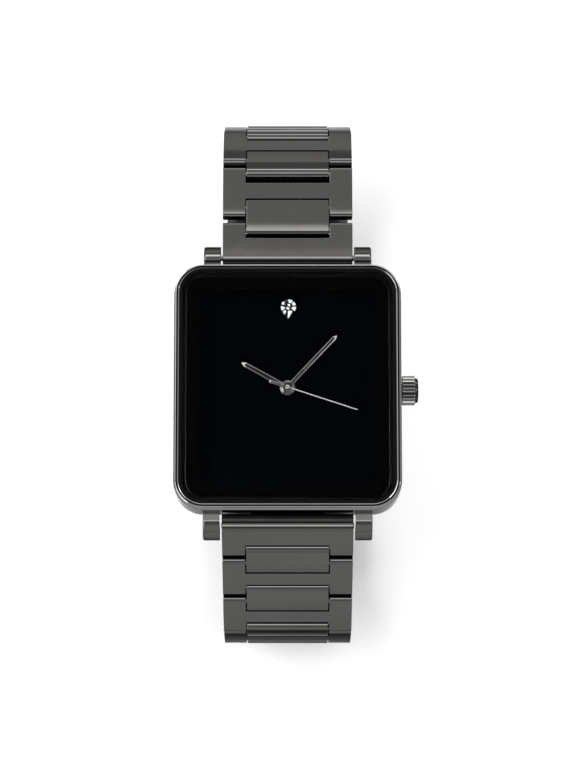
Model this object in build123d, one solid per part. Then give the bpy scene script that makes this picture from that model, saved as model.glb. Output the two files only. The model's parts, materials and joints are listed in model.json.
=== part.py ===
from build123d import *
import math
import os

# A square quartz watch on its closed link bracelet. Millimetres.
# X points to 3 o'clock, Y to 12 o'clock and Z out of the dial.
# The origin is the middle of the case back's outer face, under the hands.

# Clearances that the whole watch shares
seat_gap = 0.02  # round a piece that is pressed or set into another
running_gap = 0.06  # round a pin or shaft that turns
side_gap = 0.15  # beside a link that turns between two others
cut_overrun = 1.0  # how far a cut runs past the face that it opens

# Case
case_width = 33.6
case_length = 36.6
case_corner = 4.4
case_height = 5.9
case_wall = 3.0
case_edge_bevel = 0.7
cavity_corner = 2.0
dial_ledge = 1.55  # how much wider the dial's recess is than the cavity, each side
dial_recess_depth = 1.4

# Case back, its gasket and its screws
back_thickness = 1.0
back_inset = 0.6
back_edge_bevel = 0.3
back_boss_height = 0.8
back_gasket_width = 0.55
back_gasket_height = 0.5
screw_inset = 2.1  # from the case's sides to a screw's axis
screw_head_radius = 0.65
screw_head_height = 0.5
screw_shank_radius = 0.35
screw_length = 2.4
screw_slot_width = 0.22
screw_slot_depth = 0.2

# Lugs
strap_width = 20.0
lug_play = 0.2  # how much wider than the strap the gap between the lugs is
lug_width = 2.4
lug_reach = 3.85  # from the case's end to the end of a lug
lug_groove = 1.15  # the groove between the case and a lug's crest
lug_groove_height = 4.4
lug_crest_height = 5.2
lug_crest_length = 0.35
lug_shoulder_height = 4.05
lug_face_height = 2.3
lug_tip_height = 1.35
lug_bottom_height = 1.1
lug_edge_round = 0.3
spring_bar_reach = 1.87  # from the case's end to a spring bar's axis
spring_bar_height = 3.35

# Bezel, crystal and its gasket
bezel_inset = 0.2
bezel_height = 1.7
bezel_rim = 1.0
bezel_ledge = 0.8
bezel_ledge_height = 0.4
bezel_outer_bevel = 0.4
bezel_inner_bevel = 0.2
crystal_gap = 0.05
crystal_thickness = 1.0
crystal_bevel = 0.15
crystal_gasket_width = 0.6
crystal_gasket_height = 0.2

# Dial and its stone
dial_thickness = 0.4
dial_gap = 0.1
dial_corner = 3.0
stone_radius = 1.12
stone_inset = 6.35  # from the case's end to the middle of the stone's round end
stone_length = 1.9  # from there to its point
stone_height = 0.55
stone_angle = 32  # of its sides, in from upright

# Hands, as angles from 12 o'clock, clockwise
hour_angle = 298.9
minute_angle = 43.05
second_angle = 108.2
hour_hand_length = 7.8
hour_hand_width = 0.62
hour_hub_radius = 1.1
minute_hand_length = 10.7
minute_hand_width = 0.55
minute_hub_radius = 0.85
second_hand_length = 10.9
second_hand_width = 0.2
second_hub_radius = 0.5
second_tail_length = 2.84
second_tail_width = 0.4
hand_tip_length = 1.3
hand_thickness = 0.12
hand_spacing = 0.3  # between one hand's underside and the next one's
hour_hand_lift = 0.3  # over the dial
second_pipe_height = 0.14

# Motion work under the dial
gear_module = 0.125
cannon_teeth = 12
minute_wheel_teeth = 36
hour_module = 0.12
minute_pinion_teeth = 10
hour_wheel_teeth = 40
minute_wheel_angle = -25  # which way the minute wheel lies from the centre
wheel_thickness = 0.22
wheel_spacing = 0.12
seconds_staff_radius = 0.14
cannon_bore_radius = 0.21
cannon_radius = 0.5
hour_pipe_radius = 0.85
tooth_tip_share = 0.13
tooth_root_share = 0.29
tooth_height_share = 0.9
tooth_depth_share = 1.25

# Movement
movement_width = 17.8
movement_length = 15.3
movement_corner = 2.4
main_plate_thickness = 2.5
motion_pocket_depth = 0.8
motion_pocket_gap = 0.3
battery_radius = 3.4
battery_height = 2.05
battery_x = -4.4
battery_inset = 4.65  # from the movement's edge to the cell's axis
battery_cap_share = 0.8
battery_step = 0.25
coil_radius = 1.0
coil_length = 11.0
coil_inset = 2.05  # from the movement's edge to the coil's axis
coil_end_length = 0.6
coil_end_width = 2.2
coil_sink = 0.35  # how far the coil's axis lies inside the main plate
pocket_gap = 0.2
pocket_depth = 1.4
bridge_thickness = 0.65
bridge_gap = 0.05
bridge_edge = 0.4
bridge_start = 0.8  # past the seconds staff, towards the battery
holder_gap = 0.12
back_gap = 0.2  # between the holder and the case back

# Crown, stem and setting lever
crown_height = 3.7
crown_radius = 2.2
crown_length = 1.9
crown_gap = 0.15
crown_flutes = 24
flute_depth = 0.26
flute_tip_share = 0.2
flute_root_share = 0.36
crown_cap_radius = 1.85
crown_cap_length = 0.5
crown_cap_bevel = 0.3
crown_tube_radius = 0.95
crown_tube_reach = 0.9
crown_skirt_depth = 1.2
stem_radius = 0.4
stem_start = 3.0
stem_neck_radius = 0.25
stem_neck_start = 5.5
stem_neck_length = 0.5
lever_thickness = 0.3
lever_width = 3.2
lever_height = 1.15
crown_travel = 1.0

# Bracelet links
link_pitch = 8.5  # from one pivot to the next
link_play = 0.6  # how much narrower than the strap width a link is
leg_width = 3.4
link_thickness = 2.6
link_rise = 0.08  # how far a link's outer face bulges
block_nose = 1.1  # how far a centre block reaches back past its pivot
block_round = 0.85
block_rise = 0.14
bar_gap = 0.46  # between a block's nose and the bar before it
bar_width = 2.42
block_end_gap = 0.1
leg_start = 1.7
leg_reach = 0.9
leg_start_round = 0.7
leg_end_round = 0.5
link_pin_place = 3.4
pin_radius = 0.45
end_link_length = 4.35  # from the spring bar to the first pivot
spring_bar_radius = 0.75
spring_tip_radius = 0.4
spring_tip_length = 0.85
spring_tip_rest = 0.1  # of the lower bar, pressed in

# How far each link points down from the level of the dial, from the lug on, in degrees
upper_angles = (0, 1, 39, 69, 93, 108.5, 132, 159)
lower_angles = (53, 53.5, 55.5, 83, 106, 141)
clasp_angle = 180

# Fold-over clasp, inwards from its cover
clasp_arm = 5.5  # from the cover's hinge to the lower half's pivot
cover_plate = 0.8
cover_depth = 1.6  # from the bracelet's middle to the plate's inner face
cover_block_length = 2.0
cover_wall = 1.1
cover_wall_height = 0.9
cover_end = 1.2
cover_end_drop = 0.7
cover_end_curve = 4.5
blade_gap = 0.3
blade_floor = 0.5
blade_rail = 1.2
blade_rail_height = 0.9
blade_hinge_place = 7.0  # from the upper half's pivot to the blades' hinge
blade_eye_radius = 0.8
blade_pin_radius = 0.4
blade_axis = -0.1
inner_blade_side_gap = 0.4
tongue_thickness = 0.9
tongue_offset = 0.05
tongue_eye_radius = 1.1
hinge_stub_radius = 0.5
rail_end_radius = 1.0

# Heights that the pieces share
case_top = back_thickness + case_height
dial_floor = case_top - dial_recess_depth
dial_top = dial_floor + dial_thickness
cavity_width = case_width - 2 * case_wall
cavity_length = case_length - 2 * case_wall
plate_floor = dial_floor - main_plate_thickness
hour_hand_floor = dial_top + hour_hand_lift
minute_hand_floor = hour_hand_floor + hand_spacing
second_hand_floor = minute_hand_floor + hand_spacing
first_wheel_floor = dial_floor - motion_pocket_depth + bridge_gap
second_wheel_floor = first_wheel_floor + wheel_thickness + wheel_spacing
wheel_distance = (cannon_teeth + minute_wheel_teeth) * gear_module / 2
wheel_x = wheel_distance * math.cos(math.radians(minute_wheel_angle))
wheel_y = wheel_distance * math.sin(math.radians(minute_wheel_angle))

# Sizes that follow the movement, the case and the strap
battery_y = movement_length / 2 - battery_inset
coil_y = coil_inset - movement_length / 2
lug_gap = strap_width + lug_play
lug_tip = case_length / 2 + lug_reach
spring_bar_place = case_length / 2 + spring_bar_reach
stone_place = case_length / 2 - stone_inset
link_width = strap_width - link_play
notch_width = link_width - 2 * leg_width
block_width = notch_width - 2 * side_gap

# Places along a link, from its pivot
bar_reach = block_nose + bar_gap  # from a pivot back to the bar's far face
bar_far = link_pitch - bar_reach
bar_near = bar_far - bar_width
block_far = bar_near - block_end_gap


def slab(width, length, corner, low, high):
    return Pos(0, 0, low) * extrude(RectangleRounded(width, length, corner), high - low)


def frame(width, length, corner, rim, low, high):
    outer = slab(width, length, corner, low, high)
    opening = slab(
        width - 2 * rim,
        length - 2 * rim,
        corner - min(rim, corner / 2),
        low - cut_overrun,
        high + cut_overrun,
    )
    return outer - opening


def brick(x_low, x_high, y_low, y_high, z_low, z_high):
    middle = Pos((x_low + x_high) / 2, (y_low + y_high) / 2, (z_low + z_high) / 2)
    return middle * Box(x_high - x_low, y_high - y_low, z_high - z_low)


def rod_x(radius, start, end, y=0, z=0):
    return Pos((start + end) / 2, y, z) * Rot(0, 90, 0) * Cylinder(radius, end - start)


def rod_z(radius, low, high, x=0, y=0):
    return Pos(x, y, (low + high) / 2) * Cylinder(radius, high - low)


def side_plate(outline, x_low, x_high):
    # A face drawn in Y and Z, made thick along X
    return Pos(x_low, 0, 0) * extrude(Plane.YZ * outline, x_high - x_low)


def toothed(teeth, tip_radius, root_radius, tip_share, root_share, turn):
    points = []
    for tooth in range(teeth):
        corners = (
            (root_radius, -root_share),
            (tip_radius, -tip_share),
            (tip_radius, tip_share),
            (root_radius, root_share),
        )
        for radius, share in corners:
            angle = math.radians(turn + (tooth + share) * 360 / teeth)
            points.append((radius * math.cos(angle), radius * math.sin(angle)))
    return make_face(Polyline(*points, close=True).edges())


def gear(teeth, module, turn, low, high):
    pitch_radius = teeth * module / 2
    outline = toothed(
        teeth,
        pitch_radius + tooth_height_share * module,
        pitch_radius - tooth_depth_share * module,
        tooth_tip_share,
        tooth_root_share,
        turn,
    )
    return Pos(0, 0, low) * extrude(outline, high - low)


def group(*solids):
    return Compound(children=list(solids))


# The head


def make_lug():
    wall = case_length / 2
    crest = wall + lug_groove
    inside = wall - case_wall / 2
    crest_end = (crest + lug_crest_length, lug_crest_height)
    face_end = (lug_tip, lug_face_height)
    tip_end = (lug_tip - lug_tip_height, lug_bottom_height)
    shoulder = ((crest_end[0] + lug_tip) / 2 + lug_crest_length, lug_shoulder_height)
    tip_round = (lug_tip - lug_edge_round, lug_tip_height)
    sides = Polyline(
        tip_end,
        (inside, lug_bottom_height),
        (inside, lug_groove_height),
        (crest, lug_groove_height),
        (crest, lug_crest_height),
        crest_end,
    )
    face = ThreePointArc(crest_end, shoulder, face_end)
    tip = ThreePointArc(face_end, tip_round, tip_end)
    outline = make_face(sides.edges() + face.edges() + tip.edges())
    lug = side_plate(outline, lug_gap / 2, lug_gap / 2 + lug_width)
    hole = rod_x(
        spring_tip_radius + running_gap,
        lug_gap / 2 - cut_overrun,
        lug_gap / 2 + spring_tip_length,
        spring_bar_place,
        spring_bar_height,
    )
    return lug - hole


def screw_places():
    x = case_width / 2 - screw_inset
    y = case_length / 2 - screw_inset
    return [(x, y), (-x, y), (-x, -y), (x, -y)]


def make_mid_case():
    body = slab(case_width, case_length, case_corner, back_thickness, case_top)
    body = chamfer(body.faces().sort_by(Axis.Z)[0].edges(), case_edge_bevel)
    lug = make_lug()
    for x_mirror in (False, True):
        for y_mirror in (False, True):
            placed = mirror(lug, about=Plane.YZ) if x_mirror else lug
            placed = mirror(placed, about=Plane.XZ) if y_mirror else placed
            body = body + placed
    cavity = slab(
        cavity_width,
        cavity_length,
        cavity_corner,
        back_thickness - cut_overrun,
        case_top + cut_overrun,
    )
    recess = slab(
        cavity_width + 2 * dial_ledge,
        cavity_length + 2 * dial_ledge,
        dial_corner + dial_gap,
        dial_floor,
        case_top + cut_overrun,
    )
    tube_hole = rod_x(
        crown_tube_radius + seat_gap,
        0,
        case_width / 2 + cut_overrun,
        0,
        crown_height,
    )
    body = body - cavity - recess - tube_hole
    for x, y in screw_places():
        depth = back_thickness + screw_length - screw_head_height
        body = body - rod_z(screw_shank_radius + seat_gap, 0, depth, x, y)
    return body


def make_bezel():
    floor, top = case_top, case_top + bezel_height
    width = case_width - 2 * bezel_inset
    length = case_length - 2 * bezel_inset
    corner = case_corner - bezel_inset
    ring = slab(width, length, corner, floor, top)
    ring = chamfer(ring.faces().sort_by(Axis.Z)[-1].edges(), bezel_outer_bevel)
    window = slab(
        width - 2 * bezel_rim,
        length - 2 * bezel_rim,
        corner - bezel_rim,
        floor + bezel_ledge_height,
        top + cut_overrun,
    )
    ring = ring - window
    inner = width / 2 - bezel_rim
    edges = ring.faces().filter_by(Plane.XY).sort_by(Axis.Z)[-1].edges()
    inner_edges = edges.filter_by(lambda edge: abs(edge.center().X) <= inner + seat_gap)
    ledge_hole = slab(
        width - 2 * (bezel_rim + bezel_ledge),
        length - 2 * (bezel_rim + bezel_ledge),
        corner - bezel_rim - bezel_ledge,
        floor - cut_overrun,
        top,
    )
    inner_length = length / 2 - bezel_rim
    inner_edges = inner_edges.filter_by(
        lambda edge: abs(edge.center().Y) <= inner_length + seat_gap
    )
    ring = chamfer(inner_edges, bezel_inner_bevel)
    return ring - ledge_hole


def crystal_outline():
    width = case_width - 2 * (bezel_inset + bezel_rim + crystal_gap)
    length = case_length - 2 * (bezel_inset + bezel_rim + crystal_gap)
    return width, length, case_corner - bezel_inset - bezel_rim - crystal_gap


def make_crystal_gasket():
    width, length, corner = crystal_outline()
    floor = case_top + bezel_ledge_height
    top = floor + crystal_gasket_height
    return frame(width, length, corner, crystal_gasket_width, floor, top)


def make_crystal():
    width, length, corner = crystal_outline()
    floor = case_top + bezel_ledge_height + crystal_gasket_height
    glass = slab(width, length, corner, floor, floor + crystal_thickness)
    return chamfer(glass.faces().sort_by(Axis.Z)[-1].edges(), crystal_bevel)


def make_dial():
    width = cavity_width + 2 * (dial_ledge - dial_gap)
    length = cavity_length + 2 * (dial_ledge - dial_gap)
    plate = slab(width, length, dial_corner, dial_floor, dial_top)
    hole = rod_z(hour_pipe_radius + side_gap, dial_floor - cut_overrun, dial_top + cut_overrun)
    return plate - hole


def make_dial_stone():
    # A pear shape: a round end and the two lines that touch it from its point
    half_turn = math.acos(stone_radius / stone_length)
    touch_x = stone_radius * math.sin(half_turn)
    touch_y = -stone_radius * math.cos(half_turn)
    point = (0, -stone_length)
    sides = Polyline((-touch_x, touch_y), point, (touch_x, touch_y))
    round_end = ThreePointArc((touch_x, touch_y), (0, stone_radius), (-touch_x, touch_y))
    outline = make_face(sides.edges() + round_end.edges())
    stone = extrude(outline, stone_height, taper=stone_angle)
    return Pos(0, stone_place, dial_top) * stone


def hand_outline(length, width, tip_length):
    half = width / 2
    return Polyline(
        (-half, 0),
        (-half, length - tip_length),
        (0, length),
        (half, length - tip_length),
        (half, 0),
        close=True,
    )


def make_hand(length, width, hub_radius, bore_radius, floor, angle):
    arm = extrude(make_face(hand_outline(length, width, hand_tip_length).edges()), hand_thickness)
    hub = Pos(0, 0, hand_thickness / 2) * Cylinder(hub_radius, hand_thickness)
    bore = Cylinder(bore_radius, 2 * cut_overrun)
    return Pos(0, 0, floor) * Rot(0, 0, -angle) * (arm + hub - bore)


def make_second_hand():
    needle = hand_outline(second_hand_length, second_hand_width, second_hand_length / 2)
    arm = extrude(make_face(needle.edges()), hand_thickness)
    tail = brick(
        -second_tail_width / 2,
        second_tail_width / 2,
        -second_tail_length,
        0,
        0,
        hand_thickness,
    )
    hub = rod_z(second_hub_radius, 0, hand_thickness + second_pipe_height)
    hand = Pos(0, 0, second_hand_floor) * Rot(0, 0, -second_angle) * (arm + tail + hub)
    staff_top = second_hand_floor + hand_thickness
    staff_hole = rod_z(seconds_staff_radius + seat_gap, 0, staff_top)
    staff = rod_z(seconds_staff_radius, plate_floor + seat_gap, staff_top - seat_gap)
    return group(hand - staff_hole, staff)


def make_cannon_pinion():
    top = first_wheel_floor + wheel_thickness
    leaves = gear(cannon_teeth, gear_module, minute_wheel_angle, first_wheel_floor, top)
    pipe = rod_z(cannon_radius, first_wheel_floor, minute_hand_floor + hand_thickness)
    bore = rod_z(cannon_bore_radius, 0, case_top + bezel_height)
    return leaves + pipe - bore


def make_minute_wheel():
    gap_turn = minute_wheel_angle + 180 + 180 / minute_wheel_teeth
    pinion_turn = minute_wheel_angle + 180 + 180 / minute_pinion_teeth
    low, high = first_wheel_floor, first_wheel_floor + wheel_thickness
    wheel = gear(minute_wheel_teeth, gear_module, gap_turn, low, high)
    pinion_top = second_wheel_floor + wheel_thickness
    pinion = gear(minute_pinion_teeth, hour_module, pinion_turn, low, pinion_top)
    bore = rod_z(cannon_bore_radius, 0, case_top)
    return Pos(wheel_x, wheel_y, 0) * (wheel + pinion - bore)


def make_hour_wheel():
    low, high = second_wheel_floor, second_wheel_floor + wheel_thickness
    wheel = gear(hour_wheel_teeth, hour_module, minute_wheel_angle, low, high)
    pipe = rod_z(hour_pipe_radius, low, hour_hand_floor + hand_thickness)
    bore = rod_z(cannon_radius + running_gap, 0, case_top + bezel_height)
    return wheel + pipe - bore


def make_main_plate():
    plate = slab(movement_width, movement_length, movement_corner, plate_floor, dial_floor)
    pocket_floor = dial_floor - motion_pocket_depth
    hour_reach = hour_module * (hour_wheel_teeth / 2 + 1) + motion_pocket_gap
    wheel_reach = gear_module * (minute_wheel_teeth / 2 + 1) + motion_pocket_gap
    plate = plate - rod_z(hour_reach, pocket_floor, dial_floor + cut_overrun)
    plate = plate - rod_z(wheel_reach, pocket_floor, dial_floor + cut_overrun, wheel_x, wheel_y)
    post = rod_z(
        cannon_bore_radius - running_gap,
        pocket_floor,
        second_wheel_floor + wheel_thickness,
        wheel_x,
        wheel_y,
    )
    plate = plate + post
    low, high = plate_floor - cut_overrun, plate_floor + pocket_depth
    plate = plate - rod_z(battery_radius + pocket_gap, low, high, battery_x, battery_y)
    coil_room = coil_length / 2 + coil_end_length + pocket_gap
    coil_side = coil_end_width / 2 + pocket_gap
    plate = plate - brick(-coil_room, coil_room, coil_y - coil_side, coil_y + coil_side, low, high)
    stem_side = stem_radius + side_gap
    edge = movement_width / 2 + cut_overrun
    plate = plate - brick(stem_start - side_gap, edge, -stem_side, stem_side, low, high)
    lever_side = lever_width / 2 + side_gap
    lever_start = stem_neck_start - side_gap
    lever_stop = stem_neck_start + stem_neck_length + crown_travel + side_gap
    plate = plate - brick(lever_start, lever_stop, -lever_side, lever_side, low, high)
    staff_bore = rod_z(seconds_staff_radius + running_gap, low, dial_floor)
    return plate - staff_bore


def make_train_bridge():
    top = plate_floor - bridge_gap
    low = top - bridge_thickness
    width = movement_width - 2 * bridge_edge
    length = movement_length - 2 * bridge_edge
    outline = slab(width, length, movement_corner, low, top)
    coil_side = coil_y + coil_end_width / 2 + pocket_gap
    start = -seconds_staff_radius - bridge_start
    plate = outline & brick(start, width, coil_side, length, low, top)
    room = rod_z(battery_radius + pocket_gap, low - cut_overrun, top + cut_overrun, battery_x, battery_y)
    return plate - room


def make_battery():
    top = plate_floor + pocket_depth - bridge_gap
    low = top - battery_height
    cell = rod_z(battery_radius, low, top - battery_step, battery_x, battery_y)
    cap = rod_z(battery_radius * battery_cap_share, low, top, battery_x, battery_y)
    return cell + cap


def make_coil():
    axis = plate_floor + coil_sink
    half = coil_length / 2
    coil = rod_x(coil_radius, -half, half, coil_y, axis)
    for side in (-1, 1):
        ends = sorted((side * half, side * (half + coil_end_length)))
        cheek_side = coil_end_width / 2
        cheek = brick(
            ends[0],
            ends[1],
            coil_y - cheek_side,
            coil_y + cheek_side,
            axis - coil_radius,
            axis + coil_radius,
        )
        coil = coil + cheek
    return coil


def make_movement_holder():
    low = back_thickness + back_boss_height + back_gap
    ring = slab(
        cavity_width - 2 * holder_gap,
        cavity_length - 2 * holder_gap,
        cavity_corner - holder_gap,
        low,
        dial_floor,
    )
    room = slab(
        movement_width + 2 * holder_gap,
        movement_length + 2 * holder_gap,
        movement_corner + holder_gap,
        low - cut_overrun,
        dial_floor + cut_overrun,
    )
    slot = rod_x(crown_tube_radius + holder_gap, 0, cavity_width, 0, crown_height)
    return ring - room - slot


def make_case_back():
    plate = slab(
        case_width - 2 * back_inset,
        case_length - 2 * back_inset,
        case_corner - back_inset,
        0,
        back_thickness,
    )
    plate = chamfer(plate.faces().sort_by(Axis.Z)[0].edges(), back_edge_bevel)
    boss_inset = 2 * (back_gasket_width + seat_gap)
    boss = slab(
        cavity_width - boss_inset,
        cavity_length - boss_inset,
        cavity_corner - back_gasket_width,
        back_thickness,
        back_thickness + back_boss_height,
    )
    plate = plate + boss
    for x, y in screw_places():
        head_hole = rod_z(screw_head_radius + side_gap / 2, -cut_overrun, screw_head_height, x, y)
        shank_hole = rod_z(screw_shank_radius + seat_gap, 0, back_thickness + cut_overrun, x, y)
        plate = plate - head_hole - shank_hole
    return plate


def make_case_back_gasket():
    width = cavity_width - 2 * seat_gap
    length = cavity_length - 2 * seat_gap
    top = back_thickness + back_gasket_height
    rim = back_gasket_width - seat_gap
    return frame(width, length, cavity_corner, rim, back_thickness, top)


def make_case_back_screws():
    screws = []
    for x, y in screw_places():
        head = rod_z(screw_head_radius, 0, screw_head_height, x, y)
        shank = rod_z(screw_shank_radius, screw_head_height, screw_length, x, y)
        slot = brick(
            x - screw_head_radius - cut_overrun,
            x + screw_head_radius + cut_overrun,
            y - screw_slot_width / 2,
            y + screw_slot_width / 2,
            -cut_overrun,
            screw_slot_depth,
        )
        screws.append(head + shank - slot)
    return group(*screws)


def make_crown_tube():
    start = case_width / 2 - case_wall
    end = case_width / 2 + crown_tube_reach
    tube = rod_x(crown_tube_radius, start, end, 0, crown_height)
    bore = rod_x(stem_radius + running_gap, 0, end + cut_overrun, 0, crown_height)
    return tube - bore


def make_crown():
    start = case_width / 2 + crown_gap
    root_radius = crown_radius - flute_depth
    outline = toothed(crown_flutes, crown_radius, root_radius, flute_tip_share, flute_root_share, 0)
    body = Pos(start, 0, crown_height) * extrude(Plane.YZ * outline, crown_length)
    cap_start = start + crown_length
    cap = rod_x(crown_cap_radius, cap_start, cap_start + crown_cap_length, 0, crown_height)
    cap = chamfer(cap.faces().sort_by(Axis.X)[-1].edges(), crown_cap_bevel)
    skirt_radius = crown_tube_radius + side_gap
    skirt = rod_x(skirt_radius, start - cut_overrun, start + crown_skirt_depth, 0, crown_height)
    bore = rod_x(stem_radius + seat_gap, start, cap_start, 0, crown_height)
    return body + cap - skirt - bore


def make_stem():
    end = case_width / 2 + crown_gap + crown_length - seat_gap
    stem = rod_x(stem_radius, stem_start, end, 0, crown_height)
    neck_end = stem_neck_start + stem_neck_length
    ring = rod_x(crown_radius, stem_neck_start, neck_end, 0, crown_height)
    core = rod_x(stem_neck_radius, 0, end, 0, crown_height)
    return stem - (ring - core)


def make_setting_lever():
    middle = stem_neck_start + stem_neck_length / 2
    low = plate_floor + bridge_gap
    half = lever_thickness / 2
    side = lever_width / 2
    yoke = brick(middle - half, middle + half, -side, side, low, low + lever_height)
    slot_side = stem_neck_radius + running_gap
    slot = brick(
        middle - cut_overrun,
        middle + cut_overrun,
        -slot_side,
        slot_side,
        crown_height,
        low + lever_height + cut_overrun,
    )
    round_end = rod_x(slot_side, middle - cut_overrun, middle + cut_overrun, 0, crown_height)
    return yoke - slot - round_end


# The bracelet, each link drawn along Y from its own pivot, with Z out of the bracelet


def link_face(start, end, start_round, end_round, rise):
    low, high = -link_thickness / 2, link_thickness / 2
    sides = Polyline((start, high), (start, low), (end, low), (end, high))
    outside = ThreePointArc((end, high), ((start + end) / 2, high + rise), (start, high))
    face = make_face(sides.edges() + outside.edges())
    if start_round:
        face = fillet(face.vertices().sort_by(Axis.X)[:2], start_round)
    if end_round:
        face = fillet(face.vertices().sort_by(Axis.X)[-2:], end_round)
    return face


def notch(start, end):
    half, reach = notch_width / 2, link_thickness
    return brick(-half, half, start, end, -reach, reach)


def cross_hole(radius, place, height=0):
    reach = link_width / 2 + cut_overrun
    return rod_x(radius, -reach, reach, place, height)


def make_link():
    half = link_width / 2
    end = link_pitch + leg_reach
    face = link_face(leg_start, end, leg_start_round, leg_end_round, link_rise)
    link = side_plate(face, -half, half)
    link = link - notch(leg_start - cut_overrun, bar_near)
    link = link - notch(bar_far, end + cut_overrun)
    # The pin that holds the block is pressed into both legs, and is one with them here
    pin_reach = half - leg_width / 2
    link = link + rod_x(pin_radius, -pin_reach, pin_reach, link_pin_place)
    return link - cross_hole(pin_radius + running_gap, link_pitch)


def make_block():
    half = block_width / 2
    face = link_face(-block_nose, block_far, block_round, leg_end_round / 2, block_rise)
    block = side_plate(face, -half, half)
    for place in (0, link_pin_place):
        block = block - cross_hole(pin_radius + seat_gap, place)
    reach = link_width / 2 - seat_gap
    return group(block, rod_x(pin_radius, -reach, reach))


def make_end_link():
    half = link_width / 2
    end = end_link_length + leg_reach
    nose = link_thickness / 2
    face = link_face(0, end, 0, leg_end_round, link_rise)
    link = side_plate(face, -half, half) + rod_x(nose, -half, half)
    link = link - notch(end_link_length - bar_reach, end + cut_overrun)
    link = link - cross_hole(spring_bar_radius + running_gap, 0)
    return link - cross_hole(pin_radius + running_gap, end_link_length)


def make_spring_bar(tip_length):
    reach = link_width / 2
    bar = rod_x(spring_bar_radius, -reach, reach)
    return bar + rod_x(spring_tip_radius, -reach - tip_length, reach + tip_length)


def step(point, down_angle, length, side):
    angle = math.radians(down_angle)
    return (point[0] + side * length * math.cos(angle), point[1] - length * math.sin(angle))


def half_pivots(angles, side):
    # The spring bar, then each pivot of one half of the bracelet, as (Y, Z)
    pivots = [(side * spring_bar_place, spring_bar_height)]
    lengths = [end_link_length] + [link_pitch] * (len(angles) - 1)
    for down_angle, length in zip(angles, lengths):
        pivots.append(step(pivots[-1], down_angle, length, side))
    return pivots


upper_pivots = half_pivots(upper_angles, 1)
lower_pivots = half_pivots(lower_angles, -1)
# The lower half's last link ends level with the upper half, so the clasp lies flat
closing_drop = lower_pivots[-1][1] - upper_pivots[-1][1]
lower_angles = lower_angles + (180 - math.degrees(math.asin(closing_drop / link_pitch)),)
lower_pivots.append(step(lower_pivots[-1], lower_angles[-1], link_pitch, -1))
clasp_span = upper_pivots[-1][0] - lower_pivots[-1][0]
cover_hinge_place = clasp_span - clasp_arm


def upper_place(number):
    y, z = upper_pivots[number]
    down_angle = upper_angles[number] if number < len(upper_angles) else clasp_angle
    return Pos(0, y, z) * Rot(-down_angle, 0, 0)


def lower_place(number):
    y, z = lower_pivots[number]
    return Pos(0, y, z) * Rot(0, 0, 180) * Rot(-lower_angles[number], 0, 0)


# The clasp, drawn along Y from the upper half's last pivot, with Z out of the bracelet


def make_clasp_cover():
    half = link_width / 2
    outside = cover_depth + cover_plate
    end = cover_hinge_place + cover_end
    low = -link_thickness / 2
    root = leg_start + cover_block_length
    edge = outside - cover_end_drop
    plate_lines = Polyline(
        (leg_start, edge),
        (leg_start, low),
        (root, low),
        (root, cover_depth),
        (end - cover_plate, cover_depth),
        (end, edge),
    )
    near_middle = leg_start + cover_end_curve / 2
    near_flat = leg_start + cover_end_curve
    far_middle = end - cover_end_curve / 2
    far_flat = end - cover_end_curve
    bulge = outside - cover_end_drop / 4
    near_curve = ThreePointArc((near_flat, outside), (near_middle, bulge), (leg_start, edge))
    far_curve = ThreePointArc((end, edge), (far_middle, bulge), (far_flat, outside))
    flat = Line((far_flat, outside), (near_flat, outside))
    outline = make_face(
        plate_lines.edges() + far_curve.edges() + flat.edges() + near_curve.edges()
    )
    cover = side_plate(outline, -half, half)
    tongue_face = link_face(-block_nose, root, block_round, 0, block_rise)
    cover = cover + side_plate(tongue_face, -block_width / 2, block_width / 2)
    wall_face = Polyline(
        (leg_start, -cover_wall_height),
        (cover_hinge_place, -cover_wall_height),
        (end, blade_axis),
        (end, edge),
        (leg_start, edge),
        close=True,
    )
    wall = side_plate(make_face(wall_face.edges()), half - cover_wall, half)
    cover = cover + wall + mirror(wall, about=Plane.YZ)
    cover = cover - cross_hole(pin_radius + seat_gap, 0)
    return cover - cross_hole(hinge_stub_radius + seat_gap, cover_hinge_place, blade_axis)


def make_clasp_spring_bar():
    reach = link_width / 2 - seat_gap
    return rod_x(pin_radius, -reach, reach)


def make_clasp_frame_blade():
    outer = link_width / 2 - cover_wall - inner_blade_side_gap
    inner = outer - blade_rail
    floor_out = cover_depth - blade_gap
    floor_in = floor_out - blade_floor
    start, end = blade_hinge_place, cover_hinge_place
    floor = brick(
        -outer,
        outer,
        start + 2 * blade_eye_radius,
        end - rail_end_radius - blade_gap,
        floor_in,
        floor_out,
    )
    rail = brick(inner, outer, start, end, -blade_rail_height, floor_out)
    for place in (start, end):
        rail = rail + rod_x(rail_end_radius, inner, outer, place, blade_axis)
    blade = floor + rail + mirror(rail, about=Plane.YZ)
    blade = blade - cross_hole(hinge_stub_radius + running_gap, end, blade_axis)
    blade = blade - cross_hole(blade_pin_radius + seat_gap, start, blade_axis)
    pin = rod_x(blade_pin_radius, -outer + seat_gap, outer - seat_gap, start, blade_axis)
    return group(blade, pin)


def make_clasp_hinge_stubs():
    outer = link_width / 2 - seat_gap
    inner = link_width / 2 - cover_wall - inner_blade_side_gap - blade_rail
    stub = rod_x(hinge_stub_radius, inner, outer, cover_hinge_place, blade_axis)
    return [stub, mirror(stub, about=Plane.YZ)]


def make_clasp_tongue_blade():
    half = block_width / 2
    low = tongue_offset - tongue_thickness / 2
    high = tongue_offset + tongue_thickness / 2
    blade = brick(-half, half, blade_hinge_place, clasp_span, low, high)
    blade = blade + rod_x(blade_eye_radius, -half, half, blade_hinge_place, blade_axis)
    blade = blade + rod_x(tongue_eye_radius, -half, half, clasp_span)
    blade = blade - cross_hole(blade_pin_radius + running_gap, blade_hinge_place, blade_axis)
    blade = blade - cross_hole(pin_radius + seat_gap, clasp_span)
    reach = link_width / 2 - seat_gap
    return group(blade, rod_x(pin_radius, -reach, reach, clasp_span))


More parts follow.
